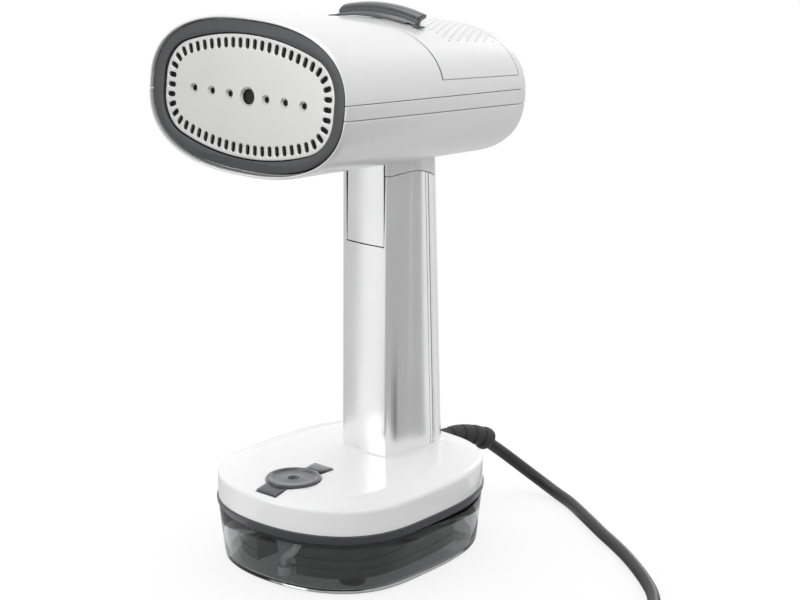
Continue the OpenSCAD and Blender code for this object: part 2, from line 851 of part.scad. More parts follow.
// Grey band and the plate that closes the dry side above the water
module base_chassis() {
    post_height = 4.6;
    color(graphite) difference() {
        union() {
            difference() {
                loft([
                    base_ring(plate_foot, 0.2), base_ring(31.4, -0.5), base_ring(33.6, -0.8),
                    base_ring(band_top, -0.3)
                ]);
                slab(plate_top, 5, 3);
            }
            // Skirt that hides the gasket
            difference() {
                slab(band_foot, plate_foot - band_foot + 0.2, 0.2);
                slab(band_foot - 1, 4, 1);
            }
            // Spigot that fits inside the tank's rim
            difference() {
                slab(26.5, plate_foot - 26.5 + 0.2, tank_wall + 0.9);
                slab(26, plate_foot - 26, tank_wall + 2.7);
            }
            // Posts for the cord clamp
            for (x = [-9, 9]) translate([x, 60, plate_top - 0.2]) cylinder(h = post_height + 0.2, r = 2.6);
        }
        // Opening over the pump housing
        difference() {
            slab(plate_foot - 1, 6, 14);
            translate([-80, 27, plate_foot - 2]) cube([160, 80, 9]);
            notch(19, plate_foot - 2, 9);
        }
        translate([0, -plug_reach, 20]) cylinder(h = 20, r = 11.05);
        translate([suction_top[0], suction_top[1], 20]) cylinder(h = 20, r = 2.6);
        for (x = [-9, 9]) translate([x, 60, plate_foot + 1]) cylinder(h = 12, r = 1.1);
        for (p = chassis_screw_spots) translate([p[0], p[1], 20]) cylinder(h = 20, r = 1.6);
    }
}

// Notch of the pump housing that leaves room for the filler
module notch(r, z, height) {
    translate([0, -plug_reach, z]) cylinder(h = height, r = r);
    translate([-r, -plug_reach - 40, z]) cube([2 * r, 40, height]);
}

housing_inset = 11;
housing_foot = 6;
housing_rear = 33;

// Dark tub that hangs into the tank and keeps the pump dry
module housing_block(grow, z, height) {
    difference() {
        slab(z, height, housing_inset - grow);
        translate([-80, housing_rear + grow, z - 1]) cube([160, 80, height + 2]);
        notch(14 - grow, z - 1, height + 2);
    }
}

module pump_housing() {
    top = plate_foot;
    wall = 1.8;
    rib_rise = 0.9;
    color("darkslategray") difference() {
        union() {
            housing_block(0, housing_foot, top - housing_foot);
            for (z = [10, 15, 20, 25]) housing_block(rib_rise, z, 1.4);
            housing_block(1.3, top - 2, 2);
        }
        housing_block(-wall, housing_foot + wall, top);
    }
}

// Screws that join the chassis to the cover from below, and those of the cord clamp
module chassis_screws() {
    head = 1.5;
    color(silver) {
        for (p = chassis_screw_spots) translate([p[0], p[1], plate_foot - head]) {
            cylinder(h = 11, r = 1.4);
            cylinder(h = head, r = 2.7);
        }
        for (x = [-9, 9]) translate([x, 60, 34.5]) {
            cylinder(h = 10.5 + head, r = 1.05);
            translate([0, 0, 10.5]) cylinder(h = head, r = 2.4);
        }
    }
}

module pump() {
    color("dimgray") {
        translate([0, -25, 21]) rotate([-90, 0, 0]) cylinder(h = 15, r = 12);
        translate([0, -10, 21]) rotate([-90, 0, 0]) cylinder(h = 34, r = 10.5);
        translate([4, -17, 30]) cylinder(h = 10, r = 2.3);
        translate([8, -18, 21]) rotate([0, 90, 0]) cylinder(h = 16, r = 2.3);
    }
}

module pump_mounts() {
    color(rubber) for (y = [-6, 14]) difference() {
        translate([-9, y, housing_foot + 1.8]) cube([18, 6, 9]);
        translate([0, y - 1, 21]) rotate([-90, 0, 0]) cylinder(h = 8, r = 10.6);
    }
}

module control_board() {
    color("seagreen") translate([-41, 29, plate_top]) {
        translate([0, 0, 3.6]) cube([29, 24, 1.6]);
        for (x = [3, 26], y = [3, 21]) translate([x, y, 0]) cylinder(h = 4, r = 1.8);
        translate([5, 5, 5.2]) cube([12, 9, 6]);
        translate([22, 15, 5.2]) cylinder(h = 6, r = 3);
    }
}

// Hose from the suction tube over the filler's side to the pump
module inlet_hose() {
    route = [
        [suction_top[0], suction_top[1], 36.5], [suction_top[0], suction_top[1], 38.4],
        [20.4, -58.4, 41], [22.6, -50.5, 43], [28, -37, 40.4], [32.4, -26, 32], [31.4, -20, 24.6],
        [27.6, -18, 21], [24.4, -18, 21]
    ];
    color("gainsboro") tube(smooth(route, 2), 2.2, 8, [1, 0, 0]);
}

module cord_clamp() {
    color(rubber) difference() {
        translate([-12.5, 56.5, 38]) cube([25, 7, 7]);
        translate([0, 50, 41.3]) rotate([-90, 0, 0]) cylinder(h = 20, r = 3.1);
        for (x = [-9, 9]) translate([x, 60, 30]) cylinder(h = 20, r = 1.3);
    }
}

module fill_neck() {
    color(graphite) translate([0, -plug_reach, 0]) difference() {
        union() {
            translate([0, 0, 28]) cylinder(h = 22.4, r = 11);
            translate([0, 0, 33.4]) cylinder(h = 1.6, r = 13);
        }
        translate([0, 0, 27]) cylinder(h = 30, r = neck_bore_r);
    }
}

module fill_plug() {
    disc_foot = plug_floor + 0.4;
    rim_top = 53.4;
    tab_half_w = 7.1;
    color(graphite) {
        difference() {
            union() {
                translate([0, -plug_reach, disc_foot]) rotate_extrude() polygon([
                    [0, 0], [plug_disc_r, 0], [plug_disc_r, rim_top - disc_foot - 0.5],
                    [plug_disc_r - 0.6, rim_top - disc_foot], [plug_disc_r - 1.6, rim_top - disc_foot],
                    [plug_disc_r - 3, rim_top - disc_foot - 0.8], [0, rim_top - disc_foot - 0.9]
                ]);
                translate([-tab_half_w, -65.4, 49.1]) cube([2 * tab_half_w, 8.2, 3.2]);
                translate([-6, -40, 51.9]) cube([12, 40 + plug_hinge_y, 1.2]);
                translate([-6, plug_hinge_y, plug_hinge_z]) rotate([0, 90, 0]) cylinder(h = 12, r = 0.6);
                translate([0, -plug_reach, 46]) cylinder(h = 6, r = plug_stem_r);
            }
            translate([0, -plug_reach, rim_top - 2]) cylinder(h = 3, r = 3);
            // Slope of the tab along the cover's bevel
            translate([-20, -54, 52.6]) rotate([atan(0.19), 0, 0]) translate([0, -16, 0]) cube([40, 16, 6]);
            translate([0, -plug_reach, 45]) cylinder(h = 4.5, r = plug_stem_r - 1.6);
        }
    }
}

module plug_anchor() {
    color(graphite) {
        translate([-6.5, -27.4, plug_floor]) cube([13, 7.2, 2.2]);
        translate([-6.5, -21.6, plug_floor]) cube([13, 1.4, 2.6]);
    }
}

// ---- Water tank ----

suction_top = [20, -60];
suction_foot = [6.4, -57.4];

module suction_tube() {
    color("lightgray") tube(
        smooth([[suction_top[0], suction_top[1], 36], [suction_top[0], suction_top[1], 29.6],
            [19.3, -60.3, 25.5], [16, -61.1, 20.6], [10.8, -60.8, 16.8], [7.3, -58.8, 13.2],
            [suction_foot[0], suction_foot[1], 10.6], [suction_foot[0], suction_foot[1], 9.4]], 3),
        2.2, 10, [1, 0, 0]
    );
}

// Open-bottomed filter cup on the end of the suction tube
module suction_filter() {
    color("gray") translate([suction_foot[0], suction_foot[1], 4.3]) difference() {
        cylinder(h = 4.6, r = 4.2);
        translate([0, 0, -1]) cylinder(h = 4, r = 3.3);
    }
}

module tank_gasket() {
    color(rubber) difference() {
        slab(band_foot, 1.2, 1.1);
        slab(band_foot - 1, 4, tank_wall + 0.8);
    }
}

module water_tank() {
    rim_inset = 0.2;
    skirt_inset = 2.6;
    color(smoke, 0.5) difference() {
        loft([
            base_ring(tank_foot, 3.9), base_ring(0.9, 3.3), base_ring(1.6, 2.9), base_ring(4, skirt_inset),
            base_ring(band_foot, rim_inset)
        ]);
        loft([
            base_ring(2.6, 5.6), base_ring(3.2, 4.9), base_ring(4.4, skirt_inset + tank_wall),
            base_ring(band_foot + 1, rim_inset + tank_wall)
        ]);
    }
}

foot_spots = [[-36, -38], [36, -38], [-38, 46], [38, 46]];

module tank_feet() {
    color(rubber) for (p = foot_spots) translate([p[0], p[1], 0]) rotate_extrude() polygon([
        [0, 0], [6.4, 0], [7, 0.3], [7, tank_foot], [0, tank_foot]
    ]);
}

// ---- Mains cord ----

cord_r = cord_d / 2;
relief_route = [
    [0, 69, outlet_height], [0, 74, outlet_height], [0.8, 82, 41.8], [2.2, 90, 41.7], [3.8, 97, 40.4],
    [5.6, 103.5, 38.4], [7.2, 108.6, 35.6], [8.2, 111.6, 33]
];

module strain_relief() {
    path = smooth(relief_route, 3);
    last = len(path) - 1;
    radii = [for (i = [0 : last])
        i > last - 1 ? 5.2 : i > last - 5 ? 6.7 : 5.2 + i / last * 0.7 - (i % 3 == 0 && i > 3 ? 0.7 : 0)];
    color(rubber) {
        tube(path, radii, 10, [1, 0, 0]);
        translate([0, 68, outlet_height]) rotate([-90, 0, 0]) cylinder(h = 3.8, r = flange_r);
    }
}

// Free route of the cord from the relief to the coil
cord_route = [
    [7.8, 110.6, 33.8], [9.4, 114.6, 29.8], [11.6, 119, 25.8], [16, 124.5, 20], [24, 129.5, 13], [34, 131.5, 7.6],
    [45, 130, 4.4], [58, 125, 3.4], [72, 116.5, 3.4], [86, 107.5, 3.4], [100, 98.5, 3.4],
    [114, 90, 3.4], [128, 81, 3.4], [143, 70, 3.4], [157, 58.5, 3.4], [169, 47, 3.4],
    [179, 33.5, 3.4], [186, 18, 3.4], [190.4, 1, 3.4], [192, -16, 3.4], [192.2, -32, 3.4]
];
coil_centre = [236, -32];
coil_turn_r = 37;
top_turn_start = 20;

module cord() {
    color(rubber) tube(smooth(cord_route, 2), cord_r, 8, [0, 0, 1]);
}

// Outer shape of the wound cord: three turns wide and two high, with half a turn on top
module cord_coil() {
    inner = coil_turn_r - 1.5 * cord_d;
    outer = coil_turn_r + 1.5 * cord_d;
    lead = 34;
    color(rubber) translate(coil_centre) {
        rotate_extrude($fn = 72) polygon([[inner, 0], [outer, 0], [outer, 2 * cord_d], [inner, 2 * cord_d]]);
        rotate(top_turn_start) rotate_extrude(angle = 180 - top_turn_start, $fn = 72) polygon([
            [coil_turn_r - cord_r, 2 * cord_d - 0.5], [coil_turn_r + cord_r, 2 * cord_d - 0.5],
            [coil_turn_r + cord_r, 3 * cord_d - 2], [coil_turn_r + 1.4, 3 * cord_d],
            [coil_turn_r - 1.4, 3 * cord_d], [coil_turn_r - cord_r, 3 * cord_d - 2]
        ]);
        // Lead from the top turn to the plug
        translate([-coil_turn_r, 1, 2.5 * cord_d]) rotate([90, 0, 0]) cylinder(h = lead + 1, r = cord_r, $fn = 24);
    }
}

module coil_tie() {
    strap = 0.9;
    inner = coil_turn_r - 1.5 * cord_d - strap;
    outer = coil_turn_r + 1.5 * cord_d + strap;
    height = 3 * cord_d + strap;
    half_angle = 5;
    color("dimgray") translate(coil_centre) rotate(60 - half_angle)
        rotate_extrude(angle = 2 * half_angle, $fn = 72) difference() {
            polygon([[inner, 0], [outer, 0], [outer, 2 * cord_d + 1], [coil_turn_r + 5, height],
                [coil_turn_r - 5, height], [inner, 2 * cord_d + 1]]);
            polygon([[inner + strap, strap], [outer - strap, strap], [outer - strap, 2 * cord_d + 0.4],
                [coil_turn_r + 4.6, height - strap], [coil_turn_r - 4.6, height - strap],
                [inner + strap, 2 * cord_d + 0.4]]);
        }
}

plug_mid_z = 2.5 * cord_d;
plug_x = coil_centre[0] - coil_turn_r;
plug_y = coil_centre[1] - 34;

// Earthed plug lying on its side, its round face towards the front
module plug_body() {
    color(rubber) translate([plug_x, plug_y, plug_mid_z]) rotate([90, 0, 0]) difference() {
        rotate_extrude($fn = 64) polygon([
            [0, -1], [4.6, -1], [5.4, 6], [5.6, 16], [9, 20], [14.6, 24], [16.6, 27],
            [17, 31], [17, 42], [16.4, 43], [0, 43]
        ]);
        translate([0, 0, 39]) difference() {
            cylinder(h = 6, r = 15);
            translate([-20, -8, -1]) cube([40, 16, 8]);
        }
    }
}

module plug_pins() {
    pin_r = 2.4;
    pin_length = 19;
    pin_spread = 9.5;
    color(silver) translate([plug_x, plug_y - 43, plug_mid_z]) rotate([90, 0, 0])
        for (x = [-pin_spread, pin_spread]) translate([x, 0, 0]) {
            cylinder(h = pin_length - 1, r = pin_r, $fn = 24);
            translate([0, 0, pin_length - 1]) cylinder(h = 1, r1 = pin_r, r2 = pin_r - 0.8, $fn = 24);
        }
}

// ---- What is drawn ----

head_upper_shell();
head_lower_shell();
left_trim();
right_trim();
rear_top_cover();
rear_cap();
bezel_ring();
steam_plate();
chamber_gasket();
steam_chamber();
chamber_lid();
chamber_screws();
heating_element();
thermostat();
thermal_fuse();
steam_nozzle();
slide_switch();
slider_switch();
handle_front_shell();
handle_rear_shell();
handle_screws();
trigger();
trigger_pin();
trigger_spring();
micro_switch();
water_tube();
wire_loom();
base_cover();
base_chassis();
chassis_screws();
pump_housing();
pump();
pump_mounts();
inlet_hose();
control_board();
cord_clamp();
fill_neck();
fill_plug();
plug_anchor();
suction_tube();
suction_filter();
tank_gasket();
water_tank();
tank_feet();
strain_relief();
cord();
cord_coil();
coil_tie();
plug_body();
plug_pins();
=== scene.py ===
"""Garment steamer that stands on its own water tank: finishes and fine shells around the fixed frame.

Sizes are in millimetres unless a name says otherwise, and every mesh is made in metres.
The head has its own tilted frame: x across, y (depth) from the steam plate to the rear, z up.
"""

import math

import bmesh
import bpy
from bpy.props import FloatProperty, FloatVectorProperty, PointerProperty
from mathutils import Matrix, Vector


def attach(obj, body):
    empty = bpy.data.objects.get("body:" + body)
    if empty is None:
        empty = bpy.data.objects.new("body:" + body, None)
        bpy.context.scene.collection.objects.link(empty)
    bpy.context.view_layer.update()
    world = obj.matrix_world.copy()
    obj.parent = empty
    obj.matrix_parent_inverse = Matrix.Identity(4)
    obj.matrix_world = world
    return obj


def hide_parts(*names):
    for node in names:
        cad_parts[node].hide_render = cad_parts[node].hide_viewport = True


bl_info = {
    "name": "Garment Steamer",
    "version": (1, 0, 0),
    "blender": (4, 5, 0),
    "location": "View3D > Sidebar > Steamer",
    "description": "Builds the shells, finishes, cord and studio of a garment steamer",
    "category": "Add Mesh",
}

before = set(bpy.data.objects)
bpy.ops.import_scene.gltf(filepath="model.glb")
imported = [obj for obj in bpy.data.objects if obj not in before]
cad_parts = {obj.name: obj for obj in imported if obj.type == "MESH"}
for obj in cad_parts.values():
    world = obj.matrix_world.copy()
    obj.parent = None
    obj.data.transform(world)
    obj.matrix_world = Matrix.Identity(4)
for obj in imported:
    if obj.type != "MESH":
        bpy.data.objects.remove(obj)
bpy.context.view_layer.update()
MM = 0.001

# ---------------------------------------------------------------- sizes of the head

HEAD_FRONT_W = 68.4
HEAD_REAR_W = 61.0
HEAD_CROWN = 39.6
HEAD_BELLY_FRONT = 39.4
HEAD_BELLY_REAR = 31.0
HEAD_LENGTH = 148.0
HEAD_TILT = 7.1
HEAD_POWER = 2.45
PLATE_HEIGHT = 261.8
PLATE_REACH = 74.4
SHELL_WALL = 2.4
SEAM = 0.3
# A seam line is (height at the plate, rise for each millimetre towards the rear)
BELT_UPPER = (3.9, 0.0342)
BELT_LOWER = (-3.7, 0.0328)
COVER_SILL = (13.0, 0.02)
COVER_START = 75.2
COVER_END = 142.5
HEAD_MIDDLE = (0, 20, 262)
HEAD_COLUMNS = 150
CROWN_R = 177.0
HEAD_FRAME = Matrix.Translation((0, -PLATE_REACH * MM, PLATE_HEIGHT * MM)) @ Matrix.Rotation(
    math.radians(-HEAD_TILT), 4, "X")

# ---------------------------------------------------------------- sizes of the handle and base

# A line on the handle is (y at the foot, shift for each millimetre of height)
HANDLE_FRONT = (11.7, 0.0128)
HANDLE_REAR = (59.9, -0.0378)
HANDLE_SEAM = (45.0, -0.0338)
HANDLE_HALF_W = 21.0
HANDLE_MIDDLE = (0, 36, 120)
HANDLE_FOOT = 52.0
HANDLE_WALL = 2.2
CREASE = 14.0
FRONT_BOW = 0.8
FRONT_CORNER = 12.4
REAR_CORNER = 11.0
SIDE_SWELL = 0.5
COLLAR_R = 42.0
COLLAR_Y = 26.3
COLLAR_Z = 167.7
NECK_Z = 205.0
SEAM_BEAD = 1.35
TRIGGER_HALF_W = 13.2
TRIGGER_FOOT = 169.5
TRIGGER_TOP = 214.6

# A half of the base's outline is (middle, reach, power across, power along)
BASE_HALF_W = 61.2
BASE_FRONT = (-10.7, 58.9, 2.15, 2.75)
BASE_REAR = (-5.7, 80.0, 2.8, 2.8)
BAND_FOOT = 29.5
BAND_TOP = 34.4
BASE_TOP = 52.0
PLUG_Y = -44.3
PLUG_FLOOR = 50.7
PLUG_MIDDLE = (0, PLUG_Y, 0)
STRAP_HEIGHT = 52.9
CORD_D = 6.8


# ---------------------------------------------------------------- mesh helpers

def between(start, end, steps):
    """Numbers from start to end in equal steps."""
    return [start + (end - start) * k / steps for k in range(steps + 1)]


def share_of(value, low, high):
    """Share of the way from low to high, kept from 0 to 1."""
    return min(max((value - low) / (high - low), 0.0), 1.0)


def new_object(name, data):
    """Object with the data, linked to the scene."""
    obj = bpy.data.objects.new(name, data)
    bpy.context.scene.collection.objects.link(obj)
    return obj


def add_mesh(name, points, faces, place=None):
    """Object from points in millimetres, put in the shared frame by the place matrix."""
    mesh = bpy.data.meshes.new(name)
    spots = [Vector(p) * MM for p in points]
    if place is not None:
        spots = [place @ p for p in spots]
    mesh.from_pydata(spots, [], faces)
    mesh.update()
    return new_object(name, mesh)


def edit(obj, work):
    """Runs work on the object's bmesh."""
    bm = bmesh.new()
    bm.from_mesh(obj.data)
    work(bm)
    bm.to_mesh(obj.data)
    bm.free()
    obj.data.update()
    return obj


def seal(obj):
    """Welds the seams of a mesh and turns its faces outwards."""
    def work(bm):
        bmesh.ops.remove_doubles(bm, verts=bm.verts, dist=1e-6)
        bmesh.ops.recalc_face_normals(bm, faces=bm.faces)
    return edit(obj, work)


def loft(name, rings, place=None, closed=True):
    """Skin over rings of equal length. A closed one has flat ends."""
    n = len(rings[0])
    points = [p for ring in rings for p in ring]
    faces = [(j * n + i, (j + 1) * n + i, (j + 1) * n + (i + 1) % n, j * n + (i + 1) % n)
             for j in range(len(rings) - 1) for i in range(n)]
    if closed:
        faces.append(tuple(range(n)))
        faces.append(tuple((len(rings) - 1) * n + i for i in reversed(range(n))))
    return seal(add_mesh(name, points, faces, place))


def ring_solid(name, rings, place=None):
    """Solid over a ring of rings: the last ring joins the first, with open sides closed by flat ends."""
    n = len(rings[0])
    count = len(rings)
    points = [p for ring in rings for p in ring]
    faces = [(j * n + i, (j + 1) % count * n + i, (j + 1) % count * n + i + 1, j * n + i + 1)
             for j in range(count) for i in range(n - 1)]
    faces.append(tuple(j * n for j in range(count)))
    faces.append(tuple(j * n + n - 1 for j in reversed(range(count))))
    return seal(add_mesh(name, points, faces, place))


def sheet_grid(name, rows, place=None, hidden=None):
    """Open skin over rows of points. hidden(j, i) is true for a face that is left out."""
    n = len(rows[0])
    points = [p for row in rows for p in row]
    faces = [(j * n + i, j * n + i + 1, (j + 1) * n + i + 1, (j + 1) * n + i)
             for j in range(len(rows) - 1) for i in range(n - 1)
             if hidden is None or not hidden(j, i)]
    obj = add_mesh(name, points, faces, place)

    def work(bm):
        loose = [v for v in bm.verts if not v.link_faces]
        bmesh.ops.delete(bm, geom=loose, context="VERTS")
    return edit(obj, work)


def settle(obj):
    """Makes the result of the modifiers, or of a curve, the object's own mesh."""
    result = bpy.data.meshes.new_from_object(obj.evaluated_get(bpy.context.evaluated_depsgraph_get()))
    if obj.type == "MESH":
        obj.modifiers.clear()
        obj.data = result
        return obj
    name = obj.name
    bpy.data.objects.remove(obj)
    return new_object(name, result)


def thicken(obj, wall, outside):
    """Gives an open skin a wall on its inner side. outside is a point that the skin faces away from."""
    middle = Vector(outside) * MM
    if sum((f.center - middle).dot(f.normal) for f in obj.data.polygons) < 0:
        obj.data.flip_normals()
    mod = obj.modifiers.new("wall", "SOLIDIFY")
    mod.thickness = wall * MM
    mod.offset = -1
    mod.use_even_offset = True
    return seal(settle(obj))


def combine(obj, others, how="DIFFERENCE"):
    """Cuts the other solids out of obj, or adds them to it with UNION. They are used up."""
    for other in others:
        mod = obj.modifiers.new("cut", "BOOLEAN")
        mod.operation = how
        mod.solver = "MANIFOLD"
        mod.object = other
        settle(obj)
        bpy.data.objects.remove(other)


def soften(obj, width, angle=50, segments=2):
    """Rounds the edges sharper than the angle by a small radius."""
    mod = obj.modifiers.new("edge", "BEVEL")
    mod.width = width * MM
    mod.segments = segments
    mod.limit_method = "ANGLE"
    mod.angle_limit = math.radians(angle)
    mod.miter_outer = "MITER_ARC"
    return settle(obj)


def shade(obj, angle=35, weighted=False):
    """Shades smooth up to the angle. Weighted normals keep broad faces flat."""
    obj.data.shade_smooth()
    obj.data.set_sharp_from_angle(angle=math.radians(angle))
    if weighted:
        mod = obj.modifiers.new("normals", "WEIGHTED_NORMAL")
        mod.keep_sharp = True
        mod.weight = 80
        settle(obj)
    return obj


def round_edges(obj, width, angle=35, weighted=False, segments=2):
    """Softens the edges by the width and shades the rest smooth."""
    return shade(soften(obj, width, segments=segments), angle, weighted)


BLOCK_FACES = [(0, 1, 3, 2), (4, 6, 7, 5), (0, 4, 5, 1), (2, 3, 7, 6), (0, 2, 6, 4), (1, 5, 7, 3)]


def block(name, low, high, place=None):
    """Box between its lowest and highest corners."""
    corners = [(x, y, z) for x in (low[0], high[0]) for y in (low[1], high[1]) for z in (low[2], high[2])]
    return seal(add_mesh(name, corners, BLOCK_FACES, place))


def turned(name, profile, steps=96, middle=(0, 0, 0), axis="Z", place=None):
    """Solid of revolution of (radius, height) points about a Z or Y axis through the middle."""
    turn = Matrix.Rotation(math.radians(-90), 3, "X") if axis == "Y" else Matrix.Identity(3)
    angles = [2 * math.pi * k / steps for k in range(steps)]
    rings = [[Vector(middle) + turn @ Vector((r * math.cos(a), r * math.sin(a), height)) for a in angles]
             for r, height in profile]
    return loft(name, rings, place)


def join(obj, others):
    """Makes the others' meshes part of obj."""
    bm = bmesh.new()
    for o in [obj, *others]:
        bm.from_mesh(o.data)
    bm.to_mesh(obj.data)
    bm.free()
    for o in others:
        bpy.data.objects.remove(o)


def flat_solid(name, outlines, low, high, edge):
    """Plate with rounded edges between two depths of the head, from the outlines of its rim and holes."""
    curve = bpy.data.curves.new(name, "CURVE")
    curve.dimensions = "2D"
    curve.fill_mode = "BOTH"
    curve.extrude = ((high - low) / 2 - edge) * MM
    curve.bevel_depth = edge * MM
    curve.bevel_resolution = 2
    curve.offset = -edge * MM
    for outline in outlines:
        spline = curve.splines.new("POLY")
        spline.points.add(len(outline) - 1)
        for point, (x, y) in zip(spline.points, outline):
            point.co = (x * MM, y * MM, 0, 1)
        spline.use_cyclic_u = True
    obj = settle(new_object(name, curve))
    obj.data.transform(FRONT_VIEW @ Matrix.Translation((0, 0, (low + high) / 2 * MM)))
    return seal(obj)


def skin(name, rows, wall, outside, edge=0.0, place=None, hidden=None, **shading):
    """Walled skin over rows of points, with rounded edges. shading goes to round_edges."""
    obj = thicken(sheet_grid(name, rows, place, hidden), wall, outside)
    return round_edges(obj, edge, **shading) if edge else shade(obj)


# ---------------------------------------------------------------- curves and forms

def bend(v, power):
    """Sine or cosine of a superellipse from that of a circle."""
    return math.copysign(abs(v) ** (2 / power), v)


def spline_path(points, parts):
    """Smooth line through the points, in equal parts between each pair."""
    p = [Vector(q) for q in points]
    last = len(p) - 1
    line = []
    for i in range(last):
        a, b, c, d = p[max(i - 1, 0)], p[i], p[i + 1], p[min(i + 2, last)]
        for j in range(parts):
            u = j / parts
            line.append(0.5 * (2 * b + (c - a) * u + (2 * a - 5 * b + 4 * c - d) * u * u
                               + (3 * b - a - 3 * c + d) * u ** 3))
    return line + [p[last]]


def swept(name, path, radius, sides=20):
    """Round tube along the path. radius is one number, or a function of the share of the path."""
    path = [Vector(p) for p in path]
    count = len(path)
    side = Vector((1, 0, 0))
    rings = []
    for i, p in enumerate(path):
        along = (path[min(i + 1, count - 1)] - path[max(i - 1, 0)]).normalized()
        side = (side - side.dot(along) * along).normalized()
        up = along.cross(side)
        r = radius(i / (count - 1)) if callable(radius) else radius
        rings.append([p + r * (math.cos(a) * side + math.sin(a) * up)
                      for a in (2 * math.pi * k / sides for k in range(sides))])
    return loft(name, rings)


def head_w(s):
    """Half width of the head at a depth."""
    return HEAD_FRONT_W + (HEAD_REAR_W - HEAD_FRONT_W) * s / HEAD_LENGTH


def head_belly(s):
    """Distance of the belly below the head's axis at a depth."""
    return HEAD_BELLY_FRONT + (HEAD_BELLY_REAR - HEAD_BELLY_FRONT) * s / HEAD_LENGTH


def head_mid(s):
    """Height of the middle of the head's section above its axis."""
    return (HEAD_CROWN - head_belly(s)) / 2


def head_h(s):
    """Half height of the head's section at a depth."""
    return (HEAD_CROWN + head_belly(s)) / 2


def head_point(s, inset, angle):
    """Point on the head's section at an angle from the right, moved inwards by the inset."""
    t = math.radians(angle)
    return ((head_w(s) - inset) * bend(math.cos(t), HEAD_POWER), s,
            head_mid(s) + (head_h(s) - inset) * bend(math.sin(t), HEAD_POWER))


def head_angle(s, line, shift):
    """Angle at which a seam line crosses the right side of the head."""
    z = line[0] + line[1] * s + shift
    share = (z - head_mid(s)) / head_h(s)
    return math.degrees(math.asin(math.copysign(abs(share) ** (HEAD_POWER / 2), share)))


def belly_height(x, y):
    """Height of the head's underside above the floor at a place."""
    inverse = HEAD_FRAME.inverted()
    low, high = 190.0, 240.0
    for _ in range(24):
        z = (low + high) / 2
        p = inverse @ (Vector((x, y, z)) * MM) / MM
        reach = ((abs(p.x) / head_w(p.y)) ** HEAD_POWER
                 + (abs(p.z - head_mid(p.y)) / head_h(p.y)) ** HEAD_POWER)
        low, high = (z, high) if reach > 1 else (low, z)
    return (low + high) / 2


# Closed section of the shell as (depth, inset), from the rolled front rim to the rear lip and back
HEAD_SECTION = (
    [(3.2, 1.6), (-1.1, 1.6), (-1.5, 1.5), (-1.72, 1.2), (-1.6, 0.75), (-1.1, 0.35), (0, 0.08), (1.6, 0)]
    + [(s, 0) for s in range(6, 146, 7)]
    + [(147, 0), (147.9, 0.2), (148.4, 0.7), (148.6, 1.4), (148.4, 2.1), (147.8, 2.4)]
    + [(s, SHELL_WALL) for s in range(145, 8, -8)] + [(3.2, SHELL_WALL)]
)


def seam_of(line, shift, left=False):
    """Angle of a seam line on the right or left side, as a function of the depth."""
    def angle(s):
        a = head_angle(s, line, shift)
        return 180 - a if left else a
    return angle


def head_band(name, start, end, columns):
    """Part of the head's shell between two seams, given as functions of the depth."""
    rings = [[head_point(s, inset, a) for a in between(start(s), end(s), columns)]
             for s, inset in HEAD_SECTION]
    return ring_solid(name, rings, HEAD_FRAME)


# ---------------------------------------------------------------- the slot row

ROW_ARC_R = 135.0
ROW_CORNER_R = 16.0
ROW_HALF_W = 53.6
ROW_HALF_H = 26.2
QUARTER_SLOTS = 13
SLOT_LENGTH = 5.0
SLOT_WIDTH = 2.4
ROW_CORNER_X = ROW_HALF_W - ROW_CORNER_R
ROW_ARC_Z = ROW_HALF_H - ROW_ARC_R
ROW_TURN = math.asin(ROW_CORNER_X / (ROW_ARC_R - ROW_CORNER_R))
ROW_CORNER_Z = ROW_ARC_Z + (ROW_ARC_R - ROW_CORNER_R) * math.cos(ROW_TURN)
ROW_ARC_LENGTH = ROW_ARC_R * ROW_TURN
ROW_CORNER_LENGTH = ROW_CORNER_R * (math.pi / 2 - ROW_TURN)
ROW_QUARTER = ROW_ARC_LENGTH + ROW_CORNER_LENGTH + ROW_CORNER_Z
SLOT_PITCH = ROW_QUARTER / (QUARTER_SLOTS + 0.5)


def row_place(u):
    """Place on a quarter of the slot row and the angle of its normal from upright."""
    if u < ROW_ARC_LENGTH:
        a = u / ROW_ARC_R
        return ROW_ARC_R * math.sin(a), ROW_ARC_Z + ROW_ARC_R * math.cos(a), a
    if u < ROW_ARC_LENGTH + ROW_CORNER_LENGTH:
        a = ROW_TURN + (u - ROW_ARC_LENGTH) / ROW_CORNER_R
        return ROW_CORNER_X + ROW_CORNER_R * math.sin(a), ROW_CORNER_Z + ROW_CORNER_R * math.cos(a), a
    return ROW_HALF_W, ROW_QUARTER - u, math.pi / 2


def row_outline(grow, steps=40):
    """Outline of the row grown by the offset, as points round the whole."""
    quarter = []
    for k in range(steps + 1):
        x, z, a = row_place(ROW_QUARTER * k / steps)
        quarter.append((x + grow * math.sin(a), z + grow * math.cos(a)))
    right = quarter + [(x, -z) for x, z in reversed(quarter[:-1])]
    return right + [(-x, z) for x, z in reversed(right[1:-1])]


def steam_slot(x, z, angle, steps=8):
    """Steam slot with round ends, turned by the angle from upright."""
    half, r = (SLOT_LENGTH - SLOT_WIDTH) / 2, SLOT_WIDTH / 2
    ends = [(r * math.cos(a), half + r * math.sin(a)) for a in between(0, math.pi, steps)]
    shape = ends + [(-px, -pz) for px, pz in ends]
    c, s = math.cos(angle), math.sin(angle)
    return [(x + px * c + pz * s, z - px * s + pz * c) for px, pz in shape]


def circle(x, z, r, steps=28):
    """Outline of a round hole."""
    return [(x + r * math.cos(2 * math.pi * k / steps), z + r * math.sin(2 * math.pi * k / steps))
            for k in range(steps)]


# Turns a flat solid drawn in x and z so that its height runs back along the head
FRONT_VIEW = HEAD_FRAME @ Matrix.Rotation(math.radians(90), 4, "X") @ Matrix.Diagonal((1, 1, -1, 1))


# ---------------------------------------------------------------- the handle and base outlines

def sloped(line, z):
    """y of a line on the handle at a height."""
    return line[0] + (z - HANDLE_FOOT) * line[1]


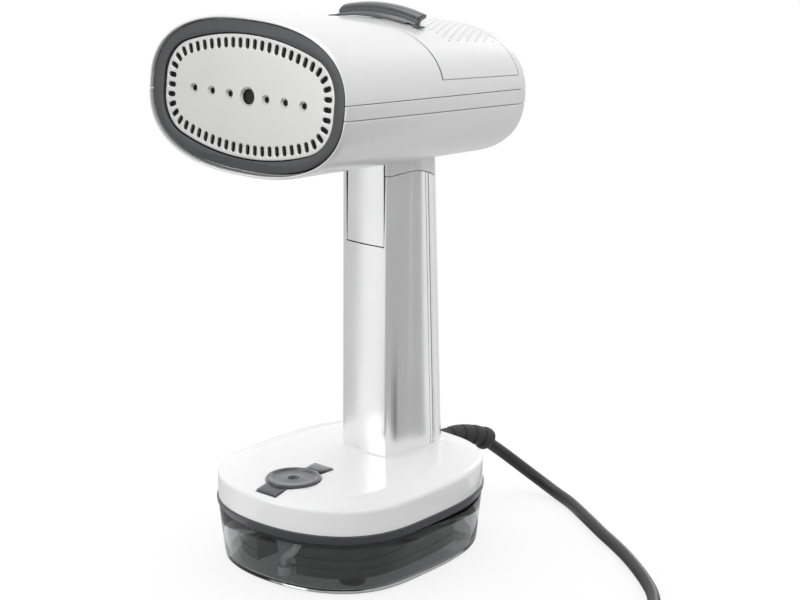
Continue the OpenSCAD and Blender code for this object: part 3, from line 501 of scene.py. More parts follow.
def corner_y(z):
    """y at which the front corner meets the side."""
    return sloped(HANDLE_FRONT, z) + FRONT_BOW + FRONT_CORNER


def front_curve(x, z):
    """Front face of the handle and its corner, for x up to the half width."""
    if x <= CREASE:
        return sloped(HANDLE_FRONT, z) + FRONT_BOW * (x / CREASE) ** 2
    share = min((x - CREASE) / (HANDLE_HALF_W - CREASE), 1.0)
    return corner_y(z) - FRONT_CORNER * math.sqrt(1 - share * share)


def handle_edge(z, d, steps):
    """Front and rear corner of the right half of the handle's outline, moved inwards by d."""
    across, along = HANDLE_HALF_W - CREASE - d, FRONT_CORNER - d
    rear_x, rear_y = HANDLE_HALF_W - REAR_CORNER, sloped(HANDLE_REAR, z) - REAR_CORNER
    rear_r = REAR_CORNER - d
    corner = [(CREASE + across * math.cos(a), corner_y(z) + along * math.sin(a))
              for a in map(math.radians, between(-90, 0, steps))]
    rear = [(rear_x + rear_r * math.cos(a), rear_y + rear_r * math.sin(a))
            for a in map(math.radians, between(0, 90, steps))]
    return corner, rear


def side_points(z, start, end, steps):
    """Points along the handle's side, which swells a little between its two corners."""
    rear_y = sloped(HANDLE_REAR, z) - REAR_CORNER
    points = []
    for y in between(start, end, steps):
        turn = 2 * math.pi * share_of(y, corner_y(z), rear_y)
        points.append((HANDLE_HALF_W + SIDE_SWELL / 2 * (1 - math.cos(turn)), y))
    return points


def handle_ring(z, d, steps):
    """Whole outline of the handle at a height, moved inwards by d."""
    corner, rear = handle_edge(z, d, steps)
    front = [(x, front_curve(x, z) + d) for x in (0, 3, 6, 9, 12)]
    half = front + corner + rear
    return [(x, y, z) for x, y in half] + [(-x, y, z) for x, y in reversed(half[1:])]


def collar_height(y, r):
    """Height of the arch, of a radius, where the handle meets the neck."""
    return COLLAR_Z + math.sqrt(max(r * r - (y - COLLAR_Y) ** 2, 0.0))


def base_ring(z, inset, steps=90):
    """Outline of the base at a height: a rear and a front half of superellipses with short flats between."""
    ring = []
    for centre, reach, across, power, first in ((*BASE_REAR, 0), (*BASE_FRONT, 180)):
        for t in map(math.radians, between(first, first + 180, steps)):
            ring.append(((BASE_HALF_W - inset) * bend(math.cos(t), across),
                         centre + (reach - inset) * bend(math.sin(t), power), z))
    return ring


def base_loft(name, rings):
    """Solid over the outline of the base, from pairs of height and inset."""
    return loft(name, [base_ring(z, inset) for z, inset in rings])


# ---------------------------------------------------------------- settings that a user may change

class SteamerFinishes(bpy.types.PropertyGroup):
    """Colours and roughness of the finishes."""

    pearl: FloatVectorProperty(name="Pearl white", description="Colour of the head's shells",
                               subtype="COLOR", min=0, max=1, default=(0.745, 0.745, 0.745))
    white: FloatVectorProperty(name="Base white", description="Colour of the base cover",
                               subtype="COLOR", min=0, max=1, default=(0.88, 0.88, 0.88))
    silver: FloatVectorProperty(name="Satin silver", description="Colour of the handle and trigger",
                                subtype="COLOR", min=0, max=1, default=(0.88, 0.88, 0.885))
    graphite: FloatVectorProperty(name="Graphite", description="Colour of the bezel, switch, band and plug",
                                  subtype="COLOR", min=0, max=1, default=(0.050, 0.051, 0.058))
    plate: FloatVectorProperty(name="Steam plate", description="Colour of the steam plate",
                               subtype="COLOR", min=0, max=1, default=(0.56, 0.56, 0.55))
    smoke: FloatVectorProperty(name="Smoke clear", description="Tint of the water tank",
                               subtype="COLOR", min=0, max=1, default=(0.5, 0.505, 0.51))
    rubber: FloatVectorProperty(name="Black rubber", description="Colour of the cord",
                                subtype="COLOR", min=0, max=1, default=(0.012, 0.012, 0.013))
    gloss: FloatProperty(name="Shell roughness", description="Roughness of the head's shells",
                         subtype="FACTOR", min=0.05, max=0.8, default=0.3)


class SteamerSizes(bpy.types.PropertyGroup):
    """Small sizes that belong to the looks alone."""

    edge: FloatProperty(name="Edge radius", description="Radius of the edges at the head's seams",
                        subtype="DISTANCE", unit="LENGTH", min=0.0001, max=0.0006, default=0.00035)
    dimple: FloatProperty(name="Dimple radius", description="Radius of a grip dimple on the rear cover",
                          subtype="DISTANCE", unit="LENGTH", min=0.0004, max=0.0011, default=0.0008)
    floor: FloatProperty(name="Floor size", description="Width of the studio floor",
                         subtype="DISTANCE", unit="LENGTH", min=2, max=40, default=16)


def finishes():
    return bpy.context.scene.steamer_finishes


def sizes():
    return bpy.context.scene.steamer_sizes


# ---------------------------------------------------------------- finishes

def give(tree, node, inputs):
    """Sets inputs of a node, by name or number, to values or to the outputs of other nodes."""
    for key, value in inputs.items():
        if isinstance(value, bpy.types.NodeSocket):
            tree.links.new(value, node.inputs[key])
        else:
            node.inputs[key].default_value = value


def add_node(tree, kind, inputs=None, **settings):
    """Shader node of a kind, with its settings and inputs."""
    node = tree.nodes.new("ShaderNode" + kind)
    for key, value in settings.items():
        setattr(node, key, value)
    give(tree, node, inputs or {})
    return node


def start_material(name, inputs):
    """New material with its shader's inputs set, and the object coordinates for its patterns."""
    made = bpy.data.materials.new(name)
    made.use_nodes = True
    tree = made.node_tree
    shader = tree.nodes["Principled BSDF"]
    give(tree, shader, inputs)
    return made, tree, shader, add_node(tree, "TexCoord").outputs["Object"]


def add_noise(tree, place, scale, detail=2.0):
    return add_node(tree, "TexNoise", {"Scale": scale, "Detail": detail, "Vector": place}).outputs["Fac"]


def add_range(tree, source, low, high, start=0.3, end=0.7):
    """Spreads a value from start to end over low to high."""
    return add_node(tree, "MapRange", {"From Min": start, "From Max": end, "To Min": low, "To Max": high,
                                       "Value": source}).outputs["Result"]


def mix_colours(tree, share, first, second):
    mix = add_node(tree, "Mix", {"Factor": share, "A": first, "B": second}, data_type="RGBA")
    return mix.outputs["Result"]


def add_tint(tree, source, colour, change):
    """Colour that varies a little with a noise value."""
    darker = [c * (1 - change) for c in colour]
    paler = [min(c * (1 + change), 1) for c in colour]
    return mix_colours(tree, source, (*darker, 1), (*paler, 1))


def dress(tree, shader, colour, rough, relief, depth):
    """Links the colour, the roughness and a fine relief, with its depth in millimetres, to the shader."""
    bump = add_node(tree, "Bump", {"Strength": 1.0, "Distance": depth * MM, "Height": relief})
    give(tree, shader, {"Base Color": colour, "Roughness": rough, "Normal": bump.outputs["Normal"]})


def plain_finish(name, colour, roughness, metallic=0.0, coat=0.0, coat_roughness=0.1, grain=3000.0,
                 depth=0.004, change=0.04):
    """Painted or moulded finish with a fine grain, a cloudy roughness and a slight change of colour."""
    made, tree, shader, place = start_material(
        name, {"Metallic": metallic, "Coat Weight": coat, "Coat Roughness": coat_roughness})
    clouds = add_noise(tree, place, scale=38.0, detail=3.0)
    dress(tree, shader, add_tint(tree, clouds, colour, change),
          add_range(tree, clouds, roughness - 0.05, roughness + 0.05), add_noise(tree, place, grain), depth)
    return made


def flake_finish(name, colour, roughness, metallic, coat, sparkle):
    """Paint with fine metal flakes under a clear coat."""
    made, tree, shader, place = start_material(
        name, {"Metallic": metallic, "Coat Weight": coat, "Coat Roughness": 0.12})
    flakes = add_node(tree, "TexVoronoi", {"Scale": 5200.0, "Vector": place})
    shine = add_node(tree, "SeparateColor", {"Color": flakes.outputs["Color"]})
    clouds = add_noise(tree, place, scale=30.0, detail=3.0)
    dress(tree, shader, add_tint(tree, shine.outputs["Red"], colour, sparkle),
          add_range(tree, clouds, roughness - 0.03, roughness + 0.03),
          add_noise(tree, place, scale=1400.0), depth=0.003)
    return made


def brushed_finish(name, colour, roughness):
    """Metal with a fine cut surface."""
    made, tree, shader, place = start_material(name, {"Metallic": 1.0})
    lines = add_noise(tree, place, scale=900.0, detail=4.0)
    dress(tree, shader, add_tint(tree, lines, colour, change=0.06),
          add_range(tree, lines, roughness - 0.06, roughness + 0.06), lines, depth=0.003)
    return made


def clear_finish(name, colour, roughness, index, foot=0.0):
    """Clear moulded plastic with faint flow ripples, darker below the foot height where it is thick."""
    made, tree, shader, place = start_material(name, {"Transmission Weight": 1.0, "IOR": index})
    flow = add_noise(tree, place, scale=60.0)
    tinted = add_tint(tree, flow, colour, change=0.05)
    if foot:
        height = add_node(tree, "SeparateXYZ", {"Vector": place}).outputs["Z"]
        share = add_range(tree, height, low=0.12, high=1.0, start=0.6 * MM, end=foot * MM)
        tinted = mix_colours(tree, share, (0, 0, 0, 1), tinted)
    dress(tree, shader, tinted, add_range(tree, flow, roughness, roughness + 0.02), flow,
          depth=0.01)
    return made


MADE_FINISHES = {}


def make_finishes():
    """Every finish by the name that the pieces use."""
    own = finishes()
    return {
        "pearl": flake_finish("pearl_white", own.pearl, own.gloss, metallic=0.25, coat=0.5, sparkle=0.03),
        "white": plain_finish("base_white", own.white, 0.2, coat=0.6, grain=900, depth=0.002, change=0.01),
        "silver": flake_finish("satin_silver", own.silver, 0.22, metallic=0.9, coat=0.1, sparkle=0.04),
        "graphite": flake_finish("graphite_plastic", own.graphite, 0.36, metallic=0.2, coat=0.1, sparkle=0.2),
        "band": plain_finish("graphite_band", own.graphite, 0.3, coat=0.1, grain=2400),
        "plate": plain_finish("steam_plate_metal", own.plate, 0.34, metallic=0.8, grain=2600, depth=0.0012,
                              change=0.02),
        "cast": plain_finish("cast_aluminium", (0.42, 0.42, 0.43), 0.5, metallic=1.0, grain=700, depth=0.05),
        "steel": brushed_finish("screw_steel", (0.5, 0.5, 0.51), 0.32),
        "brass": plain_finish("brass", (0.58, 0.42, 0.16), 0.3, metallic=1.0),
        "rubber": plain_finish("moulded_rubber", (0.02, 0.02, 0.021), 0.6, grain=1600, depth=0.02),
        "relief": plain_finish("relief_rubber", (0.028, 0.028, 0.029), 0.62, grain=1500, depth=0.03),
        "cord": plain_finish("cord_jacket", own.rubber, 0.42, grain=1100, depth=0.015),
        "smoke": clear_finish("smoke_clear", own.smoke, 0.02, index=1.47, foot=2.6),
        # Painted shade: a near-black finish for sheets that stand in for the shade in the cover's front seam
        # and behind the plate's slots
        "painted_shade": plain_finish("painted_shade_black", (0.012, 0.012, 0.012), 0.8, grain=900),
        "gloss": plain_finish("switch_gloss", own.graphite, 0.24, metallic=0.1, coat=0.6, coat_roughness=0.12,
                              grain=1800),
        "milky": plain_finish("milky_tube", (0.8, 0.8, 0.8), 0.35, coat=0.2, grain=700),
        "hose": clear_finish("clear_hose", (0.82, 0.83, 0.82), 0.12, index=1.4),
        "housing": plain_finish("dark_housing", (0.045, 0.047, 0.047), 0.38, grain=1200, depth=0.01),
        "board": plain_finish("board_green", (0.02, 0.16, 0.06), 0.4, grain=800),
        "black": plain_finish("switch_black", (0.015, 0.015, 0.016), 0.45),
    }


def finish_of(name):
    """Finish by its short name. All of them are made at the first call."""
    if not MADE_FINISHES:
        MADE_FINISHES.update(make_finishes())
    return MADE_FINISHES[name]


def place_piece(obj, body, finish, slot, *nodes):
    """Gives a piece its finish, its body and the nodes that it stands for. Its material slot is not used."""
    obj.data.materials.clear()
    obj.data.materials.append(finish_of(finish))
    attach(obj, body)
    if nodes:
        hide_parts(*nodes)


def coat_node(node, finish):
    """Gives a node of the frame a finish."""
    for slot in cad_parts[node].material_slots:
        slot.material = finish_of(finish)


# ---------------------------------------------------------------- head

def build_upper_shell():
    """Crown of the head, open at the rear for the cover."""
    seam = seam_of(BELT_UPPER, SEAM / 2)
    upper = head_band("head_upper_shell_skin", seam, lambda s: 180 - seam(s), HEAD_COLUMNS)
    combine(upper, [cover_zone()])
    round_edges(upper, sizes().edge / MM, weighted=True)
    place_piece(upper, "root", "pearl", "pearl_shell", "head_upper_shell")


def cover_zone():
    """Region of the rear top cover."""
    sill, slope = COVER_SILL
    foot = [(x, y, sill + slope * y) for x in (-80, 80) for y in (COVER_START, COVER_END)]
    return seal(add_mesh("cover_opening", foot + [(x, y, 60) for x, y, _ in foot], BLOCK_FACES, HEAD_FRAME))


def build_lower_shell():
    """Belly of the head, with the neck that meets the handle."""
    seam = seam_of(BELT_LOWER, -SEAM / 2)
    lower = head_band("head_lower_shell_skin", lambda s: 180 - seam(s), lambda s: 360 + seam(s), HEAD_COLUMNS)
    round_edges(lower, sizes().edge / MM)
    join(lower, [build_neck()])
    place_piece(lower, "root", "pearl", "pearl_shell", "head_lower_shell")


def build_neck():
    """Upright collar between the handle and the head, from one side of the trigger round the rear."""
    rear_start, tuck, sink = 30, 0.995, 0.6
    corner, rear = handle_edge(NECK_Z, 0, 12)
    side = side_points(NECK_Z, corner[-1][1], rear[0][1], 16)[1:-1]
    half = [(TRIGGER_HALF_W + 0.3, corner[0][1])] + corner + side + rear
    columns = []
    for x, y in half + [(-x, y) for x, y in reversed(half[:-1])]:
        foot = collar_height(y, COLLAR_R + SEAM / 2)
        top = belly_height(x * tuck, y) + sink
        lean = HANDLE_REAR[1] if y > rear_start else 0
        columns.append([(x, y + lean * (z - NECK_Z), z) for z in between(foot, top, 8)])
    return skin("neck", list(zip(*columns)), HANDLE_WALL, HANDLE_MIDDLE, 0.3)


def build_trims():
    """Narrow belt on each side, between the crown and the belly."""
    for left, name in ((False, "right_trim"), (True, "left_trim")):
        foot, top = seam_of(BELT_LOWER, SEAM / 2, left), seam_of(BELT_UPPER, -SEAM / 2, left)
        trim = head_band(name + "_skin", foot, top, 10)
        round_edges(trim, sizes().edge / MM)
        place_piece(trim, "root", "pearl", "pearl_shell", name)


def cover_rows(depths, inset, shift):
    """Rows of points over the crown, from the cover's sill on one side to that on the other."""
    rows = []
    for s in depths:
        a = head_angle(s, COVER_SILL, SEAM) + shift
        rows.append([head_point(s, inset, t) for t in between(a, 180 - a, 130)])
    return rows


def build_rear_cover():
    """Rear top cover with its slot for the switch, a field of small dimples, and a near-black strip in front
    that paints the shade in the seam.
    """
    depths = [COVER_START + 1.0, *range(78, 141, 3), COVER_END - SEAM]
    cover = sheet_grid("rear_top_cover_skin", cover_rows(depths, 0, 0), HEAD_FRAME)
    thicken(cover, SHELL_WALL, HEAD_MIDDLE)
    soften(cover, sizes().edge / MM)
    combine(cover, [block("switch_slot", (-4.5, 90.9, 30), (4.5, 99.9, 60), HEAD_FRAME), dimple_field()])
    shade(cover, weighted=True)
    place_piece(cover, "root", "pearl", "pearl_shell", "rear_top_cover")
    # Painted shade: a near-black strip inside the cover's front seam stands in for the shade in the gap
    lip = [COVER_START + gap for gap in (0.1, 0.5, 0.9)]
    strip = skin("cover_seam_shade", cover_rows(lip, 0.15, 0.6), 1.2, HEAD_MIDDLE, 0.08, HEAD_FRAME)
    place_piece(strip, "root", "painted_shade", "pearl_shell")


def dimple_field():
    """Staggered rows of small balls that sink into the crown of the cover."""
    rows, columns, start, pitch, sink = 11, 22, 101.0, 4.2, 0.8
    radius = sizes().dimple / MM
    cutters = bmesh.new()
    for row in range(rows):
        s = start + row * pitch * 0.87
        odd = row % 2
        for k in range(columns - odd):
            x = (k - (columns - 1 - odd) / 2) * pitch
            z = head_mid(s) + head_h(s) * (1 - (abs(x) / head_w(s)) ** HEAD_POWER) ** (1 / HEAD_POWER)
            spot = HEAD_FRAME @ (Vector((x, s, z + radius - sink)) * MM)
            bmesh.ops.create_icosphere(cutters, subdivisions=2, radius=radius * MM,
                                       matrix=Matrix.Translation(spot))
    mesh = bpy.data.meshes.new("dimples")
    cutters.to_mesh(mesh)
    cutters.free()
    return new_object("dimples", mesh)


def build_rear_cap():
    """Domed cap that closes the rear of the head."""
    section = [(144.6, 2.75), (147.6, 2.75), (148.1, 2.9), (148.7, 3.4), (149.3, 4.4), (149.9, 6), (150.5, 9),
               (151.0, 14), (151.3, 20), (151.4, 26)]
    rings = [[head_point(s, inset, 360 * k / 200) for k in range(200)] for s, inset in section]
    cap = shade(loft("rear_cap_skin", rings, HEAD_FRAME), 50)
    place_piece(cap, "root", "pearl", "pearl_shell", "rear_cap")


def build_bezel():
    """Dark ring between the head's rim and the steam plate."""
    inset, shift, lift = 2.6, -0.25, 0.45
    outer = [(p[0] + shift, p[2] + lift) for p in (head_point(0, inset, 360 * k / 220) for k in range(220))]
    ring = shade(flat_solid("bezel_ring_trim", [outer, row_outline(5)], -0.3, 3.2, 0.35), 22)
    place_piece(ring, "root", "graphite", "graphite_plastic", "bezel_ring")


def build_plate():
    """Steam plate with the oval row of slots, the middle hole and six countersunk holes."""
    main_hole_r, small_hole_r, dimple_r = 3.9, 1.5, 2.6
    small_holes = [12.6 * k for k in (-3, -2, -1, 1, 2, 3)]
    outlines = [row_outline(4.5)]
    for k in range(QUARTER_SLOTS):
        x, z, a = row_place((k + 0.5) * SLOT_PITCH)
        outlines += [steam_slot(sx * x, sz * z, sx * sz * a) for sx in (-1, 1) for sz in (-1, 1)]
    outlines += [steam_slot(sx * ROW_HALF_W, 0, math.pi / 2) for sx in (-1, 1)]
    outlines.append(circle(0, 0, main_hole_r, 40))
    outlines += [circle(x, 0, small_hole_r) for x in small_holes]
    plate = flat_solid("steam_plate_face", outlines, 0.8, 2.8, 0.5)
    small = [(dimple_r + 0.5, 0.55), (dimple_r, 0.79), (small_hole_r, 1.6), (0.8, 1.9)]
    main = [(main_hole_r + 1.4, 0.55), (main_hole_r + 1.1, 0.79), (main_hole_r, 1.6), (3, 1.9)]
    cones = [turned("countersink", small, 32, (x, 0, 0), "Y", HEAD_FRAME) for x in small_holes]
    combine(plate, cones + [turned("middle_countersink", main, 48, (0, 0, 0), "Y", HEAD_FRAME)])
    shade(plate, 22, True)
    place_piece(plate, "root", "plate", "plate_metal", "steam_plate")
    # Painted shade: a near-black sheet behind the slots stands in for the shade seen through them
    slot_shade = shade(flat_solid("plate_slot_shade", [row_outline(4.2)], 2.85, 3.4, 0.1), 22)
    place_piece(slot_shade, "root", "painted_shade", "plate_metal")


# ---------------------------------------------------------------- steam switch

def notch_pair(top):
    """Cutters for the two notches in the front edge of the switch."""
    reach, half_w, front, rear, foot = 24.6, 2.1, 88, 92.4, 36
    return [block("notch", (x - half_w, front, foot), (x + half_w, rear, top), HEAD_FRAME)
            for x in (-reach, reach)]


def build_switch():
    """Sliding switch: a stepped grip swept over the crown, on a thin foot plate that is a little wider."""
    half_w, top, arc_r, height = 28.4, 48.0, 112.0, 8.4
    droop, droop_from = 0.6, 3.6
    foot_left, foot_right, foot_rise = -33, 31.4, 1.4
    foot_r = arc_r - height
    section = [(-1.6, 90.8), (0.5, 90.8), (1.3, 91.1), (2.3, 92.0), (3.1, 93.1), (3.6, 93.9), (3.6, 94.5),
               (4.4, 94.9), (5.4, 94.8), (6.2, 94.5), (6.7, 94.8), (7.4, 95.7), (7.9, 96.8), (8.2, 98.4),
               (8.3, 99.6), (8.1, 100.3), (7.4, 100.6), (6.4, 100.4), (5.5, 98.9), (4.6, 97.5), (3.4, 97.1),
               (2.3, 97.1), (0.5, 96.6), (-1.6, 96.6)]
    spread = math.asin(half_w / arc_r)
    rings = []
    for a in between(-spread, spread, 60):
        drop = droop * share_of(-a, 0.9 * spread, spread) ** 2
        lower = [(foot_r + h - drop * max(h - droop_from, 0), s) for h, s in section]
        rings.append([(r * math.sin(a), s, top - arc_r + r * math.cos(a)) for r, s in lower])
    switch = loft("slider_switch_grip", rings, HEAD_FRAME)
    combine(switch, [turned("crown", [(CROWN_R + 0.5, 70), (CROWN_R + 0.5, 110)], 720,
                            (0, 0, HEAD_CROWN - CROWN_R), "Y", HEAD_FRAME)])
    round_edges(switch, 0.25, 40, True)
    rows = []
    for x in between(foot_left, foot_right, 32):
        z = HEAD_CROWN - CROWN_R + math.sqrt((CROWN_R + foot_rise) ** 2 - x * x)
        end = 2.2 * max((abs(x) - 30.5) / 2.5, 0) ** 2
        rows.append([(x, s, z) for s in (90.7 + end, 92.6, 94.6, 96.5 - end)])
    foot = thicken(sheet_grid("switch_foot", rows, HEAD_FRAME), 0.9, HEAD_MIDDLE)
    combine(foot, notch_pair(40.6))
    combine(switch, notch_pair(41))
    join(switch, [round_edges(foot, 0.2, 40)])
    place_piece(switch, "slider", "gloss", "graphite_plastic", "slider_switch")


# ---------------------------------------------------------------- handle

def handle_rows(columns, heights):
    """Rows of points from the foot to the collar arch.

    columns(z) gives the outline at a height, and heights(top) the heights of a column up to its top.
    """
    tops = [collar_height(y, COLLAR_R - SEAM / 2) for _, y in columns(200)]
    return [[(*columns(z)[i], z) for i, z in enumerate(row)] for row in zip(*map(heights, tops))]


def build_handle_rear():
    """Rear shell, with a narrow strip in the seam down each side."""
    def columns(z):
        _, rear = handle_edge(z, 0, 12)
        side = side_points(z, sloped(HANDLE_SEAM, z) + SEAM_BEAD, rear[0][1], 5)[:-1]
        flat = [(rear[-1][0] * k / 4, rear[-1][1]) for k in range(3, 0, -1)]
        half = side + rear + flat
        return half + [(0, rear[-1][1])] + [(-x, y) for x, y in reversed(half)]

    def strip(sign):
        half_w, sink = 0.95, 0.12

        def strip_columns(z):
            middle = sloped(HANDLE_SEAM, z)
            return [(sign * (x - sink), y) for x, y in side_points(z, middle - half_w, middle + half_w, 3)]
        rows = handle_rows(strip_columns, lambda top: between(HANDLE_FOOT - 1, top, 20))
        return skin("seam_strip", rows, 1.2, HANDLE_MIDDLE)
    rows = handle_rows(columns, lambda top: between(HANDLE_FOOT - 1, top, 26))
    rear = skin("handle_rear_shell_skin", rows, HANDLE_WALL, HANDLE_MIDDLE, 0.3, weighted=True)
    join(rear, [strip(-1), strip(1)])
    place_piece(rear, "root", "silver", "silver_shell", "handle_rear_shell")


def build_handle_front():
    """Front shell with the upright opening for the trigger."""
    open_foot = TRIGGER_FOOT - 0.5
    front_steps, lower, upper = 9, 24, 9
    gap, flare = 0.2, 0.58

    def columns(z):
        open_half = TRIGGER_HALF_W + gap + flare * share_of(z, open_foot, TRIGGER_TOP)
        front = [(x, front_curve(x, z)) for x in between(0, open_half, front_steps)]
        corner, _ = handle_edge(z, 0, 12)
        half = front + corner + side_points(z, corner[-1][1], sloped(HANDLE_SEAM, z) - SEAM_BEAD, 14)[1:]
        return [(-x, y) for x, y in reversed(half[1:])] + half

    def heights(top):
        return between(HANDLE_FOOT - 1, open_foot, lower) + between(open_foot, top, upper)[1:]
    middle = len(columns(100)) // 2

    def in_opening(j, i):
        return j >= lower and middle - front_steps <= i < middle + front_steps
    front = skin("handle_front_shell_skin", handle_rows(columns, heights), HANDLE_WALL, HANDLE_MIDDLE, 0.3,
                 hidden=in_opening, weighted=True)
    place_piece(front, "root", "silver", "silver_shell", "handle_front_shell")


def build_trigger():
    """Trigger paddle in the front shell's opening, with a dark sheet just behind it that paints the shade in
    the gaps round it.
    """
    levels, sink, taper, gap_shade_sink = 18, 0.15, 0.5, 0.75
    rows = []
    for j, z in enumerate(between(TRIGGER_FOOT, TRIGGER_TOP, levels)):
        half = TRIGGER_HALF_W - taper * j / levels
        rows.append([(x, front_curve(abs(x), z) + sink, z) for x in between(-half, half, 22)])
    face = skin("trigger_paddle", rows, 0.7, HANDLE_MIDDLE, 0.3, weighted=True, segments=3)
    place_piece(face, "trigger", "silver", "silver_shell", "trigger")
    # Painted shade: a graphite sheet just behind the paddle darkens the gaps round it, where shade falls
    gap_shade_rows = [[(x * 0.99, y + gap_shade_sink, z) for x, y, z in row] for row in rows]
    gap_shade = skin("trigger_gap_shade", gap_shade_rows, 1.2, HANDLE_MIDDLE, 0.2)
    place_piece(gap_shade, "trigger", "band", "graphite_plastic")


# ---------------------------------------------------------------- base

def build_base_cover():
    """Glossy cover with a broad chamfer, a foot ring for the handle and the filler's pocket."""
    outer = [(BAND_TOP, 0), (38, 0), (42, 0), (46.2, 0), (47.2, 0.12), (47.9, 0.4), (48.4, 0.9), (48.8, 1.7),
             (49.4, 3.9), (50.0, 6.4), (50.6, 9.0), (51.0, 10.4), (51.4, 11.7), (51.75, 13.2), (51.93, 14.6),
             (BASE_TOP, 16)]
    inner = [(BAND_TOP - 1, SHELL_WALL), (45.6, SHELL_WALL), (47.4, 8), (49.2, 15)]
    pocket_r, bore_r, bed_top = 15.1, 11.2, 55
    cover = base_loft("base_cover_skin", outer)
    combine(cover, [base_loft("inside", inner)])
    pocket = turned("pocket", [(pocket_r, PLUG_FLOOR), (pocket_r, bed_top + 1)], 96, PLUG_MIDDLE)
    bore = turned("bore", [(bore_r, 40), (bore_r, PLUG_FLOOR + 1)], 64, PLUG_MIDDLE)
    tab = block("tab_bed", (-7.4, -66, 48.8), (7.4, -57, bed_top))
    strap = block("strap_bed", (-6.8, -40, PLUG_FLOOR), (6.8, -19.8, bed_top))
    combine(pocket, [tab, strap], "UNION")
    combine(cover, [pocket, bore])
    round_edges(cover, 0.3, 30, True)
    profile = [(-1.3, 51.7), (-1.25, 52.25), (-1.0, 52.55), (-0.6, 52.65), (0.1, 52.65), (0.3, 51.6)]
    ring = [[(x, y, z) for x, y, _ in handle_ring(z, d, 14)] for d, z in profile]
    foot = loft("handle_foot_ring", ring + [ring[0]], closed=False)
    join(cover, [shade(foot, 40)])
    place_piece(cover, "root", "white", "pearl_shell", "base_cover")


def build_band():
    """Graphite band round the base, with the plate that closes the tank's top."""
    plate_foot, bore_r = 30.7, 11.05
    outer = [(BAND_FOOT, 0.35), (BAND_FOOT + 0.25, 0.2), (plate_foot, 0.2), (31.1, -0.2), (31.5, -0.55),
             (33.4, -0.8), (33.9, -0.75), (BAND_TOP, -0.3)]
    band = base_loft("base_band", outer)
    combine(band, [base_loft("rim_room", [(BAND_FOOT - 1, 1), (plate_foot, 1)])])
    spigot = base_loft("spigot", [(26.5, 2.9), (31, 2.9)])
    combine(spigot, [base_loft("spigot_room", [(26, 4.7), (plate_foot, 4.7)])])
    combine(band, [spigot], "UNION")
    combine(band, [turned("neck_bore", [(bore_r, 20), (bore_r, 40)], 64, PLUG_MIDDLE)])
    shade(band, weighted=True)
    place_piece(band, "root", "band", "graphite_plastic", "base_chassis")


def strap_rows(widths):
    """Rows of points across the plug's strap, from pairs of y and half width."""
    return [[(half * t, y, STRAP_HEIGHT) for t in (-1, -0.5, 0, 0.5, 1)] for y, half in widths]


def build_fill_plug():
    """Round fill plug with a raised rim, a basin, a finger tab in front and a strap behind."""
    disc_r, foot, top = 14.6, PLUG_FLOOR + 0.4, 53.4
    profile = [(0.01, foot), (disc_r - 0.3, foot), (disc_r, foot + 0.3), (disc_r, top - 0.7),
               (disc_r - 0.25, top - 0.2), (disc_r - 0.8, top), (disc_r - 1.6, top),
               (disc_r - 2.2, top - 0.25), (disc_r - 3.0, top - 0.8), (disc_r - 3.8, top - 1.0),
               (7, top - 0.95), (4.2, top - 0.9), (3.4, top - 0.75), (3.0, top - 0.9), (2.6, top - 1.8),
               (2.0, top - 2.0), (0.01, top - 2.0)]
    plug = shade(turned("fill_plug_cap", profile, 96, PLUG_MIDDLE))
    stem_profile = [(0.01, 46), (7.0, 46), (7.4, 46.4), (7.4, foot + 0.2), (0.01, foot + 0.2)]
    stem = shade(turned("stem", stem_profile, 64, PLUG_MIDDLE))
    tab_rows = [[(7.1 * t, y, z) for t in (-1, -0.6, -0.2, 0.2, 0.6, 1)]
                for y, z in ((-65.4, 50.45), (-63, 50.9), (-60, 51.5), (-57, 52.05), (-54.5, 52.3))]
    tab = skin("tab", tab_rows, 1.3, PLUG_MIDDLE, 0.3)
    strap = skin("strap", strap_rows(((-33, 6.6), (-31.6, 5.2), (-30.2, 4.6), (-29.05, 4.6))), 1.0,
                 PLUG_MIDDLE, 0.25)
    join(plug, [stem, tab, strap])
    place_piece(plug, "fill_plug", "gloss", "graphite_plastic", "fill_plug")


def build_plug_anchor():
    """Anchor of the plug's strap, which widens towards the handle."""
    widths = ((-28.35, 4.7), (-27.6, 5.0), (-26.4, 5.7), (-25, 6.4), (-20.4, 6.5))
    anchor = skin("plug_anchor_strap", strap_rows(widths), 2.0, PLUG_MIDDLE, 0.25)
    place_piece(anchor, "root", "gloss", "graphite_plastic", "plug_anchor")


def build_tank():
    """Clear tank with a rounded foot."""
    outer = [(0.6, 4.1), (0.68, 3.7), (0.9, 3.3), (1.25, 3.05), (1.7, 2.9), (4, 2.6), (12, 1.85), (20, 1.1),
             (BAND_FOOT, 0.2)]
    inner = [(2.6, 5.9), (2.68, 5.5), (2.9, 5.1), (3.3, 4.8), (4.2, 4.6), (12, 3.85), (20, 3.1),
             (BAND_FOOT + 1, 2.2)]
    tank = base_loft("water_tank_shell", outer)
    combine(tank, [base_loft("water_room", inner)])
    soften(tank, 0.25, 60)
    place_piece(shade(tank), "tank", "smoke", "smoke_clear", "water_tank")


def build_suction():
    """Slanted suction tube in the tank."""
    route = [(20, -60, 36), (20, -60, 29.6), (19.3, -60.3, 25.5), (16, -61.1, 20.6), (10.8, -60.8, 16.8),
             (7.3, -58.8, 13.2), (6.4, -57.4, 10.6), (6.4, -57.4, 9.4)]
    tube = shade(swept("suction_tube_clear", spline_path(route, 6), 2.2, 24), 50)
    place_piece(tube, "root", "milky", "clear_hose", "suction_tube")


# ---------------------------------------------------------------- cord

